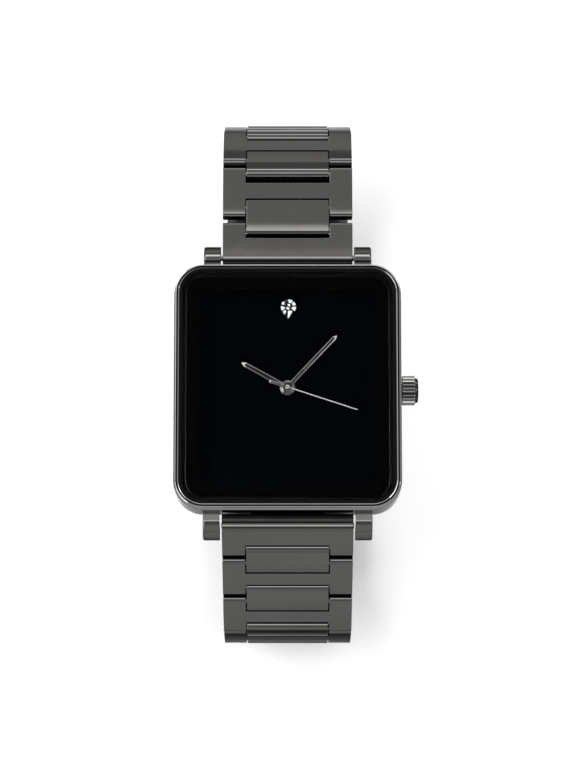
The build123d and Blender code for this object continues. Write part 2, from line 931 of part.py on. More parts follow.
def head_pieces():
    hour_bore = hour_pipe_radius + seat_gap
    minute_bore = cannon_radius + seat_gap
    return {
        "mid_case": make_mid_case(),
        "bezel": make_bezel(),
        "crystal": make_crystal(),
        "crystal_gasket": make_crystal_gasket(),
        "dial": make_dial(),
        "dial_stone": make_dial_stone(),
        "hour_hand": make_hand(
            hour_hand_length,
            hour_hand_width,
            hour_hub_radius,
            hour_bore,
            hour_hand_floor,
            hour_angle,
        ),
        "minute_hand": make_hand(
            minute_hand_length,
            minute_hand_width,
            minute_hub_radius,
            minute_bore,
            minute_hand_floor,
            minute_angle,
        ),
        "second_hand": make_second_hand(),
        "hour_wheel": make_hour_wheel(),
        "cannon_pinion": make_cannon_pinion(),
        "minute_wheel": make_minute_wheel(),
        "main_plate": make_main_plate(),
        "train_bridge": make_train_bridge(),
        "battery": make_battery(),
        "coil": make_coil(),
        "movement_holder": make_movement_holder(),
        "case_back": make_case_back(),
        "case_back_gasket": make_case_back_gasket(),
        "case_back_screws": make_case_back_screws(),
        "crown_tube": make_crown_tube(),
        "crown": make_crown(),
        "stem": make_stem(),
        "setting_lever": make_setting_lever(),
    }


def bracelet_pieces():
    link, block, end_link = make_link(), make_block(), make_end_link()
    full_tip = spring_tip_length
    pieces = {
        "upper_end_link": upper_place(0) * end_link,
        "lower_end_link": lower_place(0) * end_link,
        "upper_spring_bar": upper_place(0) * make_spring_bar(full_tip),
        "lower_spring_bar": lower_place(0) * make_spring_bar(spring_tip_rest),
    }
    for number in range(1, len(upper_angles)):
        pieces[f"upper_link_{number}"] = upper_place(number) * link
        pieces[f"upper_block_{number}"] = upper_place(number) * block
    for number in range(1, len(lower_angles)):
        pieces[f"lower_link_{number}"] = lower_place(number) * link
        pieces[f"lower_block_{number}"] = lower_place(number) * block
    return pieces


def clasp_pieces():
    place = upper_place(len(upper_angles))
    return {
        "clasp_cover": place * group(make_clasp_cover(), *make_clasp_hinge_stubs()),
        "clasp_spring_bar": place * make_clasp_spring_bar(),
        "clasp_frame_blade": place * make_clasp_frame_blade(),
        "clasp_tongue_blade": place * make_clasp_tongue_blade(),
    }


os.makedirs("parts", exist_ok=True)
for name, piece in {**head_pieces(), **bracelet_pieces(), **clasp_pieces()}.items():
    export_step(piece, f"parts/{name}.step")
print("upper pivots", [(round(y, 2), round(z, 2)) for y, z in upper_pivots])
print("lower pivots", [(round(y, 2), round(z, 2)) for y, z in lower_pivots])
print("last lower angle", lower_angles[-1], "clasp span", clasp_span)
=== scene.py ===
import json
import math

import bmesh
import bpy
from mathutils import Matrix, Vector


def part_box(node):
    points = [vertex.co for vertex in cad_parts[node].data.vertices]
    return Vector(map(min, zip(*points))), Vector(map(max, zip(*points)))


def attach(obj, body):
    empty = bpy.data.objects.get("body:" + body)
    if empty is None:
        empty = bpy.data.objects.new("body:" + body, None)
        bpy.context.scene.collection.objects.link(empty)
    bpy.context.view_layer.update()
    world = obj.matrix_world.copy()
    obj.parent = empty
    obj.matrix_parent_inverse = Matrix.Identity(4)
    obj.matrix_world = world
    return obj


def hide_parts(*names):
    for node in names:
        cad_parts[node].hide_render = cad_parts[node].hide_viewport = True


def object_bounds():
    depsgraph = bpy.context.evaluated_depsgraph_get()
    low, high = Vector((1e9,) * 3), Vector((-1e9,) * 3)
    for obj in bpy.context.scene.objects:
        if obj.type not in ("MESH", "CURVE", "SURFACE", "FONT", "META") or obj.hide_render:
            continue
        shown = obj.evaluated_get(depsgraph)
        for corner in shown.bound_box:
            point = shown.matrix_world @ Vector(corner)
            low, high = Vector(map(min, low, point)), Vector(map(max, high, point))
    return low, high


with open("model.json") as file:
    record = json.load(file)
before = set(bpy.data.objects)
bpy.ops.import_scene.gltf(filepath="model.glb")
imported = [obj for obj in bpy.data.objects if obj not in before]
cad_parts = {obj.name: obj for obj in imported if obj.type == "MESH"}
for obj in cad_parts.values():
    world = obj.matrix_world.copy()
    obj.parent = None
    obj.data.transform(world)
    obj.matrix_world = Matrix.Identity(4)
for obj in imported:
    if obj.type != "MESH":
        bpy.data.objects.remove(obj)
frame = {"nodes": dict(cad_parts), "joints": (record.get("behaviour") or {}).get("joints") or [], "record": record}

cadLow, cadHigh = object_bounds()
mm = 0.001
weld = 0.000002  # in metres, the distance at which two points become one
tiny = 1e-6  # in millimetres, what counts as no distance
joints = {joint["name"]: joint for joint in frame["joints"]}
bodies = frame["record"]["behaviour"]["bodies"]
print("frame loaded", len(frame["nodes"]), "nodes")


def addNode(tree, kind, **values):
    node = tree.nodes.new(kind)
    for key, value in values.items():
        if key in node.inputs:
            node.inputs[key].default_value = value
        else:
            setattr(node, key, value)
    return node


def setInputs(node, values):
    for key, value in values.items():
        node.inputs[key].default_value = value


def mathNode(tree, operation, first, second=None, clamp=False):
    node = addNode(tree, "ShaderNodeMath", operation=operation, use_clamp=clamp)
    for index, value in enumerate((first, second)):
        if isinstance(value, (int, float)):
            node.inputs[index].default_value = value
        elif value is not None:
            tree.links.new(value, node.inputs[index])
    return node.outputs[0]


def newGroup(name, kind, inputs, outputs):
    tree = bpy.data.node_groups.new(name, kind)
    for label, socketType, default in inputs:
        socket = tree.interface.new_socket(label, in_out="INPUT", socket_type=socketType)
        if default is not None:
            socket.default_value = default
    for label, socketType in outputs:
        tree.interface.new_socket(label, in_out="OUTPUT", socket_type=socketType)
    return tree, tree.nodes.new("NodeGroupInput"), tree.nodes.new("NodeGroupOutput")


def makeGrainGroup():
    # the fine lines of a brushed finish, as a height and a roughness
    inputs = [
        ("Vector", "NodeSocketVector", None),
        ("Along", "NodeSocketFloat", 60.0),
        ("Across", "NodeSocketFloat", 9000.0),
        ("Roughness", "NodeSocketFloat", 0.25),
        ("Spread", "NodeSocketFloat", 0.1),
    ]
    outputs = [("Height", "NodeSocketFloat"), ("Roughness", "NodeSocketFloat")]
    tree, start, end = newGroup("brushedGrain", "ShaderNodeTree", inputs, outputs)
    scale = addNode(tree, "ShaderNodeCombineXYZ")
    tree.links.new(start.outputs["Along"], scale.inputs["X"])
    tree.links.new(start.outputs["Across"], scale.inputs["Y"])
    tree.links.new(start.outputs["Across"], scale.inputs["Z"])
    stretch = addNode(tree, "ShaderNodeVectorMath", operation="MULTIPLY")
    tree.links.new(start.outputs["Vector"], stretch.inputs[0])
    tree.links.new(scale.outputs[0], stretch.inputs[1])
    lines = addNode(tree, "ShaderNodeTexNoise", Scale=1.0, Detail=3.0, Roughness=0.65)
    tree.links.new(stretch.outputs[0], lines.inputs["Vector"])
    tree.links.new(lines.outputs["Fac"], end.inputs["Height"])
    centred = mathNode(tree, "SUBTRACT", lines.outputs["Fac"], 0.5)
    wide = mathNode(tree, "MULTIPLY", centred, start.outputs["Spread"])
    rough = mathNode(tree, "ADD", wide, start.outputs["Roughness"], clamp=True)
    tree.links.new(rough, end.inputs["Roughness"])
    return tree


# the scale and detail of each noise, and the level that counts as clean
wearNoise = {"smudge": (260.0, 4.0), "cloud": (90.0, 2.0), "ripple": (420.0, 1.0), "clean": 0.45}


def makeWearGroup():
    # the smudges, faint clouds and ripples that handling leaves on a surface
    inputs = [
        ("Vector", "NodeSocketVector", None),
        ("Color", "NodeSocketColor", (0.3, 0.3, 0.3, 1)),
        ("Smudge", "NodeSocketFloat", 0.06),
        ("Roughness", "NodeSocketFloat", 0.1),
        ("Variation", "NodeSocketFloat", 0.12),
    ]
    outputs = [
        ("Color", "NodeSocketColor"),
        ("Roughness", "NodeSocketFloat"),
        ("Height", "NodeSocketFloat"),
    ]
    tree, start, end = newGroup("handlingWear", "ShaderNodeTree", inputs, outputs)

    def noise(kind):
        scale, detail = wearNoise[kind]
        texture = addNode(tree, "ShaderNodeTexNoise", Scale=scale, Detail=detail, Roughness=0.6)
        tree.links.new(start.outputs["Vector"], texture.inputs["Vector"])
        return texture.outputs["Fac"]

    smudge = mathNode(tree, "SUBTRACT", noise("smudge"), wearNoise["clean"])
    smudge = mathNode(tree, "MULTIPLY", smudge, start.outputs["Smudge"])
    rough = mathNode(tree, "ADD", smudge, start.outputs["Roughness"], clamp=True)
    tree.links.new(rough, end.inputs["Roughness"])
    shade = mathNode(tree, "SUBTRACT", noise("cloud"), 0.5)
    shade = mathNode(tree, "MULTIPLY", shade, start.outputs["Variation"])
    shade = mathNode(tree, "ADD", shade, 1.0)
    tint = addNode(tree, "ShaderNodeVectorMath", operation="SCALE")
    tree.links.new(start.outputs["Color"], tint.inputs[0])
    tree.links.new(shade, tint.inputs["Scale"])
    tree.links.new(tint.outputs[0], end.inputs["Color"])
    tree.links.new(noise("ripple"), end.inputs["Height"])
    return tree


grainGroup = makeGrainGroup()
wearGroup = makeWearGroup()
# the tint keeps the dark coating dark where it is seen edge-on
coatedMetal = {"Metallic": 1.0, "Specular Tint": (0.3, 0.3, 0.3, 1)}
bumpDepths = {"ripple": 0.0002, "grain": 0.00004, "speckle": 0.00003, "turns": 0.00003}


def startMaterial(name):
    material = bpy.data.materials.new(name)
    material.use_nodes = True
    tree = material.node_tree
    tree.nodes.clear()
    shader = tree.nodes.new("ShaderNodeBsdfPrincipled")
    out = tree.nodes.new("ShaderNodeOutputMaterial")
    tree.links.new(shader.outputs[0], out.inputs[0])
    place = tree.nodes.new("ShaderNodeTexCoord")
    return material, tree, shader, place.outputs["Object"]


def useGroup(tree, group, place, **values):
    node = tree.nodes.new("ShaderNodeGroup")
    node.node_tree = group
    tree.links.new(place, node.inputs["Vector"])
    setInputs(node, values)
    return node


def addBump(tree, shader, height, strength, kind):
    bump = addNode(tree, "ShaderNodeBump", Strength=strength, Distance=bumpDepths[kind])
    tree.links.new(height, bump.inputs["Height"])
    tree.links.new(bump.outputs[0], shader.inputs["Normal"])


def polishedMetal(name, color, roughness=0.1, smudge=0.06, variation=0.1, ripple=0.02):
    material, tree, shader, place = startMaterial(name)
    wear = useGroup(
        tree, wearGroup, place,
        Color=(*color, 1), Roughness=roughness, Smudge=smudge, Variation=variation,
    )
    tree.links.new(wear.outputs["Color"], shader.inputs["Base Color"])
    tree.links.new(wear.outputs["Roughness"], shader.inputs["Roughness"])
    addBump(tree, shader, wear.outputs["Height"], ripple, "ripple")
    setInputs(shader, coatedMetal)
    return material


def brushedMetal(name, color, roughness=0.26, along=120.0, across=9000.0, depth=0.08):
    material, tree, shader, place = startMaterial(name)
    grain = useGroup(
        tree, grainGroup, place, Along=along, Across=across, Roughness=roughness, Spread=0.16,
    )
    wear = useGroup(tree, wearGroup, place, Color=(*color, 1), Variation=0.14)
    tree.links.new(wear.outputs["Color"], shader.inputs["Base Color"])
    tree.links.new(grain.outputs["Roughness"], shader.inputs["Roughness"])
    addBump(tree, shader, grain.outputs["Height"], depth, "grain")
    setInputs(shader, coatedMetal)
    return material


def mouldedPlastic(name, color, roughness=0.45, specular=0.5):
    material, tree, shader, place = startMaterial(name)
    speckle = addNode(tree, "ShaderNodeTexNoise", Scale=1800.0, Detail=3.0)
    tree.links.new(place, speckle.inputs["Vector"])
    wear = useGroup(tree, wearGroup, place, Color=(*color, 1), Roughness=roughness, Smudge=0.2)
    tree.links.new(wear.outputs["Color"], shader.inputs["Base Color"])
    tree.links.new(wear.outputs["Roughness"], shader.inputs["Roughness"])
    addBump(tree, shader, speckle.outputs["Fac"], 0.15, "speckle")
    setInputs(shader, {"Specular IOR Level": specular})
    return material


glassLook = {"Base Color": (0.98, 0.99, 1.0, 1), "Transmission Weight": 1.0}
glassSmear = 0.003  # the roughness of the most smeared places


def clearGlass(name, ior):
    material, tree, shader, place = startMaterial(name)
    setInputs(shader, {**glassLook, "IOR": ior})
    smear = addNode(tree, "ShaderNodeTexNoise", Scale=120.0, Detail=3.0)
    tree.links.new(place, smear.inputs["Vector"])
    rough = mathNode(tree, "MULTIPLY", smear.outputs["Fac"], glassSmear)
    tree.links.new(rough, shader.inputs["Roughness"])
    return material


lacquerLook = {
    "dark": (0.0003, 0.0005, 0.0011, 1),
    "light": (0.0005, 0.0008, 0.0015, 1),
    "finish": {"Roughness": 0.12, "Specular IOR Level": 0.0},
}


def makeDialLacquer():
    # black lacquer with a faint blue depth
    material, tree, shader, place = startMaterial("dialLacquer")
    depth = addNode(tree, "ShaderNodeTexNoise", Scale=70.0, Detail=2.0)
    tree.links.new(place, depth.inputs["Vector"])
    mix = addNode(tree, "ShaderNodeMix", data_type="RGBA")
    for label, tone in (("A", "dark"), ("B", "light")):
        socket = next(s for s in mix.inputs if s.name == label and s.type == "RGBA")
        socket.default_value = lacquerLook[tone]
    tree.links.new(depth.outputs["Fac"], mix.inputs["Factor"])
    result = next(s for s in mix.outputs if s.type == "RGBA")
    tree.links.new(result, shader.inputs["Base Color"])
    setInputs(shader, lacquerLook["finish"])
    return material


def paintedLightMetal(name, roughness):
    # dark faces and bright facets, told apart by each face's own value, which paints each face's light and shade
    # into its colour
    material, tree, shader, place = startMaterial(name)
    paintedLight = addNode(tree, "ShaderNodeAttribute", attribute_name="paintedLight")
    wear = useGroup(tree, wearGroup, place, Roughness=roughness, Smudge=0.04)
    tree.links.new(paintedLight.outputs["Fac"], wear.inputs["Color"])
    tree.links.new(wear.outputs["Color"], shader.inputs["Base Color"])
    tree.links.new(wear.outputs["Roughness"], shader.inputs["Roughness"])
    setInputs(shader, {"Metallic": 1.0})
    return material


coilLook = {"copper": (0.75, 0.33, 0.14), "turns": 3200.0, "shadow": 0.3, "relief": 0.5}


def makeCopperCoil():
    s = coilLook
    material, tree, shader, place = startMaterial("coilCopper")
    turns = addNode(
        tree, "ShaderNodeTexWave", wave_type="BANDS", bands_direction="X", Scale=s["turns"],
    )
    tree.links.new(place, turns.inputs["Vector"])
    shade = mathNode(tree, "MULTIPLY", turns.outputs["Fac"], 1 - s["shadow"])
    shade = mathNode(tree, "ADD", shade, s["shadow"])
    tint = addNode(tree, "ShaderNodeVectorMath", operation="SCALE")
    tint.inputs[0].default_value = s["copper"]
    tree.links.new(shade, tint.inputs["Scale"])
    tree.links.new(tint.outputs[0], shader.inputs["Base Color"])
    addBump(tree, shader, turns.outputs["Fac"], s["relief"], "turns")
    setInputs(shader, {"Metallic": 1.0, "Roughness": 0.3})
    return material


gunmetal = (0.075, 0.0737, 0.0716)
finishes = {
    "caseMetal": polishedMetal("caseMetal", gunmetal, roughness=0.1),
    "bezelMetal": paintedLightMetal("bezelMetal", 0.06),
    "linkMetal": polishedMetal("linkMetal", gunmetal, roughness=0.09, smudge=0.08, ripple=0.03),
    "blockMetal": polishedMetal("blockMetal", (0.077, 0.0757, 0.0735), roughness=0.07, ripple=0.03),
    # the crown's body and cap are a darker copy of the metal, a painted shade, and its ridges a lighter copy, a
    # painted highlight
    "crownMetal": polishedMetal("crownMetal", (0.025, 0.0246, 0.0242), roughness=0.14),
    "ridgeMetal": polishedMetal("ridgeMetal", (0.19, 0.187, 0.182), roughness=0.1),
    # the pins' own steel, also put on the end links' lips as painted light
    "pinMetal": polishedMetal("pinMetal", (0.16, 0.157, 0.152), roughness=0.3, smudge=0.3),
    "claspMetal": brushedMetal("claspMetal", gunmetal),
    "backMetal": brushedMetal("backMetal", (0.14, 0.137, 0.133), along=9000.0, across=140.0),
    "handMetal": paintedLightMetal("handMetal", 0.08),
    "stoneFoil": paintedLightMetal("stoneFoil", 0.04),
    "dialLacquer": makeDialLacquer(),
    "borderPrint": mouldedPlastic("borderPrint", (0.0008, 0.0008, 0.001), 0.3, specular=0.0),
    "crystalGlass": clearGlass("crystalGlass", ior=1.012),  # coated against reflections
    "crystalEdge": clearGlass("crystalEdge", ior=1.12),
    "gasketRubber": mouldedPlastic("gasketRubber", (0.002, 0.002, 0.002), 0.5, specular=0.02),
    "holderPlastic": mouldedPlastic("holderPlastic", (0.7, 0.7, 0.66), roughness=0.5),
    "movementBrass": brushedMetal("movementBrass", (0.72, 0.56, 0.28)),
    "bridgeNickel": brushedMetal("bridgeNickel", (0.62, 0.62, 0.63), across=5000.0),
    "cellSteel": brushedMetal("cellSteel", (0.6, 0.6, 0.6), roughness=0.22),
    "coilCopper": makeCopperCoil(),
}
print("materials made", len(finishes))


def addObject(name, data):
    thing = bpy.data.objects.new(name, data)
    bpy.context.scene.collection.objects.link(thing)
    return thing


def newPiece(name, mesh, materials, body, nodes=()):
    piece = addObject(name, mesh)
    mesh.materials.clear()
    for material in [materials] if isinstance(materials, str) else materials:
        mesh.materials.append(finishes[material])
    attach(piece, body)
    if nodes:
        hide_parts(*nodes)
    return piece


def smoothByAngle(mesh, degrees=35.0, wideRatio=8, wideDegrees=3.0):
    limit, wideLimit = math.radians(degrees), math.radians(wideDegrees)
    work = bmesh.new()
    work.from_mesh(mesh)
    for face in work.faces:
        face.smooth = True
    for edge in work.edges:
        areas = [face.calc_area() for face in edge.link_faces]
        angle = edge.calc_face_angle(0) if len(areas) == 2 else math.pi
        # a wide face keeps its own normal beside a narrow rounding
        wide = len(areas) == 2 and max(areas) > wideRatio * min(areas)
        edge.smooth = angle < limit and not (wide and angle > wideLimit)
    work.to_mesh(mesh)
    work.free()


def finishMesh(work, name, bevel=0.0, segments=2, angle=28.0):
    bmesh.ops.remove_doubles(work, verts=work.verts, dist=weld)
    bmesh.ops.recalc_face_normals(work, faces=work.faces)
    limit = math.radians(angle)
    edges = [e for e in work.edges if len(e.link_faces) == 2 and e.calc_face_angle(0) > limit]
    if bevel and edges:
        bmesh.ops.bevel(
            work, geom=edges, offset=bevel, offset_type="OFFSET", segments=segments,
            profile=0.5, affect="EDGES", clamp_overlap=True, miter_outer="ARC",
        )
    mesh = bpy.data.meshes.new(name)
    work.to_mesh(mesh)
    work.free()
    smoothByAngle(mesh)
    return mesh


def cadCopy(node, flatDegrees=1.0):
    # a CAD node's own shape, with its points merged and its flat faces made whole
    work = bmesh.new()
    work.from_mesh(frame["nodes"][node].data)
    bmesh.ops.remove_doubles(work, verts=work.verts, dist=weld)
    flat = math.radians(flatDegrees)
    bmesh.ops.dissolve_limit(work, angle_limit=flat, verts=work.verts, edges=work.edges)
    return work


def toMetres(work):
    bmesh.ops.scale(work, vec=(mm, mm, mm), verts=work.verts)


# in millimetres, with the least angle of a sharp edge in radians
lugShape = {
    "outer": 12.5, "inner": 10.1, "closeInner": 9.99, "wall": 18.35, "round": 0.4, "near": 0.02,
    "edgeAngle": 0.5, "bevel": 0.03,
}


def lugEdges(work):
    # the outer edges of the lugs, which are rounder than the rest
    s = lugShape
    edges = []
    for edge in work.edges:
        onFace = all(abs(abs(v.co.x) - s["outer"] * mm) < s["near"] * mm for v in edge.verts)
        beyond = all(abs(v.co.y) > s["wall"] * mm for v in edge.verts)
        sharp = len(edge.link_faces) == 2 and edge.calc_face_angle(0) > s["edgeAngle"]
        if onFace and beyond and sharp:
            edges.append(edge)
    return edges


def makeCase():
    # rounds the lugs' outer edges and brings their inner faces close to the end links
    s = lugShape
    work = cadCopy("mid_case")
    bmesh.ops.bevel(
        work, geom=lugEdges(work), offset=s["round"] * mm, offset_type="OFFSET", segments=4,
        profile=0.5, affect="EDGES", clamp_overlap=True,
    )
    for vertex in work.verts:
        x, y = vertex.co.x / mm, vertex.co.y / mm
        if abs(y) > s["wall"] and abs(abs(x) - s["inner"]) < s["near"]:
            vertex.co.x = math.copysign(s["closeInner"], x) * mm
    return finishMesh(work, "midCaseDressed", s["bevel"] * mm)


def arcPoints(centreY, centreZ, radius, start, end, count):
    points = []
    for index in range(count + 1):
        angle = math.radians(start + (end - start) * index / count)
        points.append((centreY + radius * math.cos(angle), centreZ + radius * math.sin(angle)))
    return points


def addFace(work, corners):
    return work.faces.new([work.verts.new(corner) for corner in corners])


def addWalls(work, line, xLow, xHigh):
    # faces from one plane across X to another, along a line of (y, z)
    for (y0, z0), (y1, z1) in zip(line, line[1:]):
        addFace(work, [(xLow, y0, z0), (xHigh, y0, z0), (xHigh, y1, z1), (xLow, y1, z1)])


def joinRings(work, rings):
    # the side faces from each ring of points to the next
    faces = []
    for lower, upper in zip(rings, rings[1:]):
        for index in range(len(lower)):
            after = (index + 1) % len(lower)
            faces.append(work.faces.new([lower[index], lower[after], upper[after], upper[index]]))
    return faces


def inputIds(tree):
    return {
        item.name: item.identifier
        for item in tree.interface.items_tree
        if item.item_type == "SOCKET" and item.in_out == "INPUT"
    }


def runTree(carrier, tree, name, values):
    # sets the tree's inputs by identifier and keeps the result as a plain mesh
    modifier = carrier.modifiers.new("nodes", "NODES")
    modifier.node_group = tree
    ids = inputIds(tree)
    for key, value in values.items():
        modifier[ids[key]] = value
    carrier.update_tag()
    bpy.context.view_layer.update()
    result = carrier.evaluated_get(bpy.context.evaluated_depsgraph_get())
    mesh = bpy.data.meshes.new_from_object(result)
    mesh.name = name
    carrier.modifiers.remove(modifier)
    return mesh


def newShapeTree(name, inputs):
    # a geometry tree that takes the carrier, the named inputs and a material
    inputs = [("Geometry", "NodeSocketGeometry", None)] + inputs
    inputs.append(("Material", "NodeSocketMaterial", None))
    return newGroup(name, "GeometryNodeTree", inputs, [("Geometry", "NodeSocketGeometry")])


def placeShape(tree, start, points):
    shape = addNode(tree, "GeometryNodeObjectInfo", transform_space="ORIGINAL")
    tree.links.new(start.outputs["Shape"], shape.inputs["Object"])
    place = addNode(tree, "GeometryNodeInstanceOnPoints")
    tree.links.new(points, place.inputs["Points"])
    tree.links.new(shape.outputs["Geometry"], place.inputs["Instance"])
    return place


def paintAndClose(tree, start, end, instances):
    real = addNode(tree, "GeometryNodeRealizeInstances")
    tree.links.new(instances, real.inputs[0])
    paint = addNode(tree, "GeometryNodeSetMaterial")
    tree.links.new(real.outputs[0], paint.inputs["Geometry"])
    tree.links.new(start.outputs["Material"], paint.inputs["Material"])
    tree.links.new(paint.outputs[0], end.inputs[0])


def makeCarrier(name, points, closed=False):
    mesh = bpy.data.meshes.new(name)
    edges = [(i, i + 1) for i in range(len(points) - 1)]
    if closed:
        edges.append((len(points) - 1, 0))
    mesh.from_pydata([tuple(p) for p in points], edges, [])
    return addObject(name, mesh)


# the bracelet's shapes, in millimetres round each link's own pivot
linkShape = {
    "width": 19.4,
    "edgeHeight": 1.25,
    "underside": 1.3,
    "pitch": 8.5,
    "legStart": 1.7,
    "legReach": 0.9,
    "barNear": 4.52,
    "barFar": 6.94,
    "notchWidth": 12.6,
    "startRound": 0.7,
    "endRound": 0.5,
    "rise": 0.13,
    "bevel": 0.07,
}
blockShape = {
    "width": 12.3,
    "start": -1.1,
    "end": 4.42,
    "startRound": 0.85,
    "endRound": 0.25,
    "rise": 0.19,
    "bevel": 0.07,
}
endLinkShape = {
    "length": 4.35,
    "barFar": 2.79,
    "noseRadius": 1.3,
    "rise": 0.06,
    "topStart": 88,
    "lipInner": 1.2,
    "lipOuter": 1.76,
    "lipAngles": (165, 262),
    "lipBevel": 0.05,
    "lipReach": 0.1,
}
pinShape = {"radius": 0.45, "reach": 9.68, "bevel": 0.06, "places": (0.0, 3.4)}
lineSteps = {"start": 8, "top": 12, "end": 6, "nose": 14, "lip": 12, "apart": 0.12}


def outerLine(start, end, startRound, endRound, rise, stops=()):
    # the side view's upper line from the near end's middle to the far end's, as (y, z)
    height = linkShape["edgeHeight"]
    middle, reach = (start + end) / 2, (end - start) / 2

    def top(y):
        return height + rise * (1 - ((y - middle) / reach) ** 2)

    first, last = start + startRound, end - endRound
    line = [(start, 0.0)]
    steps, apart = lineSteps["top"], lineSteps["apart"]
    line += arcPoints(first, top(first) - startRound, startRound, 180, 90, lineSteps["start"])
    inner = [first + (last - first) * i / steps for i in range(1, steps)]
    inner = [y for y in inner if all(abs(y - stop) > apart for stop in stops)] + list(stops)
    line += [(y, top(y)) for y in sorted(inner)]
    line += arcPoints(last, top(last) - endRound, endRound, 90, 0, lineSteps["end"])
    line.append((end, 0.0))
    return line


def sideSpans(left, right):
    # where only one side of a plane across X is solid
    stops = sorted({y for column in left + right for y in column[2:]})
    spans = []
    for low, high in zip(stops, stops[1:]):
        mid = (low + high) / 2
        solidLeft = any(c[2] < mid < c[3] for c in left)
        solidRight = any(c[2] < mid < c[3] for c in right)
        if solidLeft != solidRight:
            spans.append((low, high))
    return spans


def stripSolid(name, line, columns, bevel):
    # line is the upper side view, columns are (x low, x high, y low, y high)
    work = bmesh.new()

    def under(point):
        y, z = point
        return (y, z) if z <= 0 else (y, -min(z, linkShape["underside"]))

    def within(yLow, yHigh):
        return [point for point in line if yLow - tiny <= point[0] <= yHigh + tiny]

    def apart(first, second):
        return abs(first[0] - second[0]) + abs(first[1] - second[1])

    for xLow, xHigh, yLow, yHigh in columns:
        part = within(yLow, yHigh)
        addWalls(work, part, xLow, xHigh)
        addWalls(work, [under(point) for point in part], xLow, xHigh)
        for y, z in (part[0], part[-1]):
            if abs(z) > tiny:
                low = under((y, z))[1]
                addFace(work, [(xLow, y, z), (xLow, y, low), (xHigh, y, low), (xHigh, y, z)])
    for x in sorted({x for column in columns for x in column[:2]}):
        left = [c for c in columns if abs(c[1] - x) < tiny]
        right = [c for c in columns if abs(c[0] - x) < tiny]
        for yLow, yHigh in sideSpans(left, right):
            part = within(yLow, yHigh)
            ring = []
            for point in part + [under(point) for point in reversed(part)]:
                if not ring or apart(ring[-1], point) > tiny:
                    ring.append(point)
            if apart(ring[0], ring[-1]) < tiny:
                ring.pop()
            addFace(work, [(x, y, z) for y, z in ring])
    toMetres(work)
    return finishMesh(work, name, bevel * mm, 3)


def makeLinkMesh():
    s = linkShape
    end = s["pitch"] + s["legReach"]
    stops = (s["barNear"], s["barFar"])
    line = outerLine(s["legStart"], end, s["startRound"], s["endRound"], s["rise"], stops)
    side, notch = s["width"] / 2, s["notchWidth"] / 2
    columns = [
        (-side, -notch, s["legStart"], end),
        (-notch, notch, s["barNear"], s["barFar"]),
        (notch, side, s["legStart"], end),
    ]
    return stripSolid("linkShape", line, columns, s["bevel"])


def makeBlockMesh():
    s = blockShape
    line = outerLine(s["start"], s["end"], s["startRound"], s["endRound"], s["rise"])
    half = s["width"] / 2
    return stripSolid("blockShape", line, [(-half, half, s["start"], s["end"])], s["bevel"])


def makeEndLinkMesh():
    s, link = endLinkShape, linkShape
    nose, rise, stop = s["noseRadius"], s["rise"], s["barFar"]
    end, rounding = s["length"] + link["legReach"], link["endRound"]
    last = end - rounding
    line = arcPoints(0, 0, nose, 180, s["topStart"], lineSteps["nose"])
    for share in (0.2, 0.4, 0.6, 0.8, 1.0):
        line.append((stop * share, nose + rise * math.sin(share * math.pi / 2)))
    line.append((stop + (last - stop) / 2, nose + rise))
    line += arcPoints(last, nose + rise / 2 - rounding, rounding, 90, 0, lineSteps["end"])
    line.append((end, 0.0))
    side, notch = link["width"] / 2, link["notchWidth"] / 2
    columns = [(-side, -notch, -nose, end), (-notch, notch, -nose, stop), (notch, side, -nose, end)]
    mesh = stripSolid("endLinkShape", line, columns, link["bevel"])
    # a lip on the nose that closes the gap to the case at every angle of the pivot
    low, high = s["lipAngles"]
    ring = arcPoints(0, 0, s["lipOuter"], low, high, lineSteps["lip"])
    ring += arcPoints(0, 0, s["lipInner"], high, low, lineSteps["lip"])
    work = bmesh.new()
    for x in (-side, side):
        addFace(work, [(x, y, z) for y, z in ring])
    addWalls(work, ring + ring[:1], -side, side)
    toMetres(work)
    lip = finishMesh(work, "lip", s["lipBevel"] * mm, 2, angle=50.0)
    work = bmesh.new()
    work.from_mesh(mesh)
    work.from_mesh(lip)
    work.to_mesh(mesh)
    work.free()
    return mesh


def makePinMesh():
    s = pinShape
    work = bmesh.new()
    for place in s["places"]:
        turn = Matrix.Translation((0, place, 0)) @ Matrix.Rotation(math.pi / 2, 4, "Y")
        bmesh.ops.create_cone(
            work, cap_ends=True, segments=28, radius1=s["radius"], radius2=s["radius"],
            depth=2 * s["reach"], matrix=turn,
        )
    toMetres(work)
    return finishMesh(work, "pinShape", s["bevel"] * mm, 2, angle=50.0)


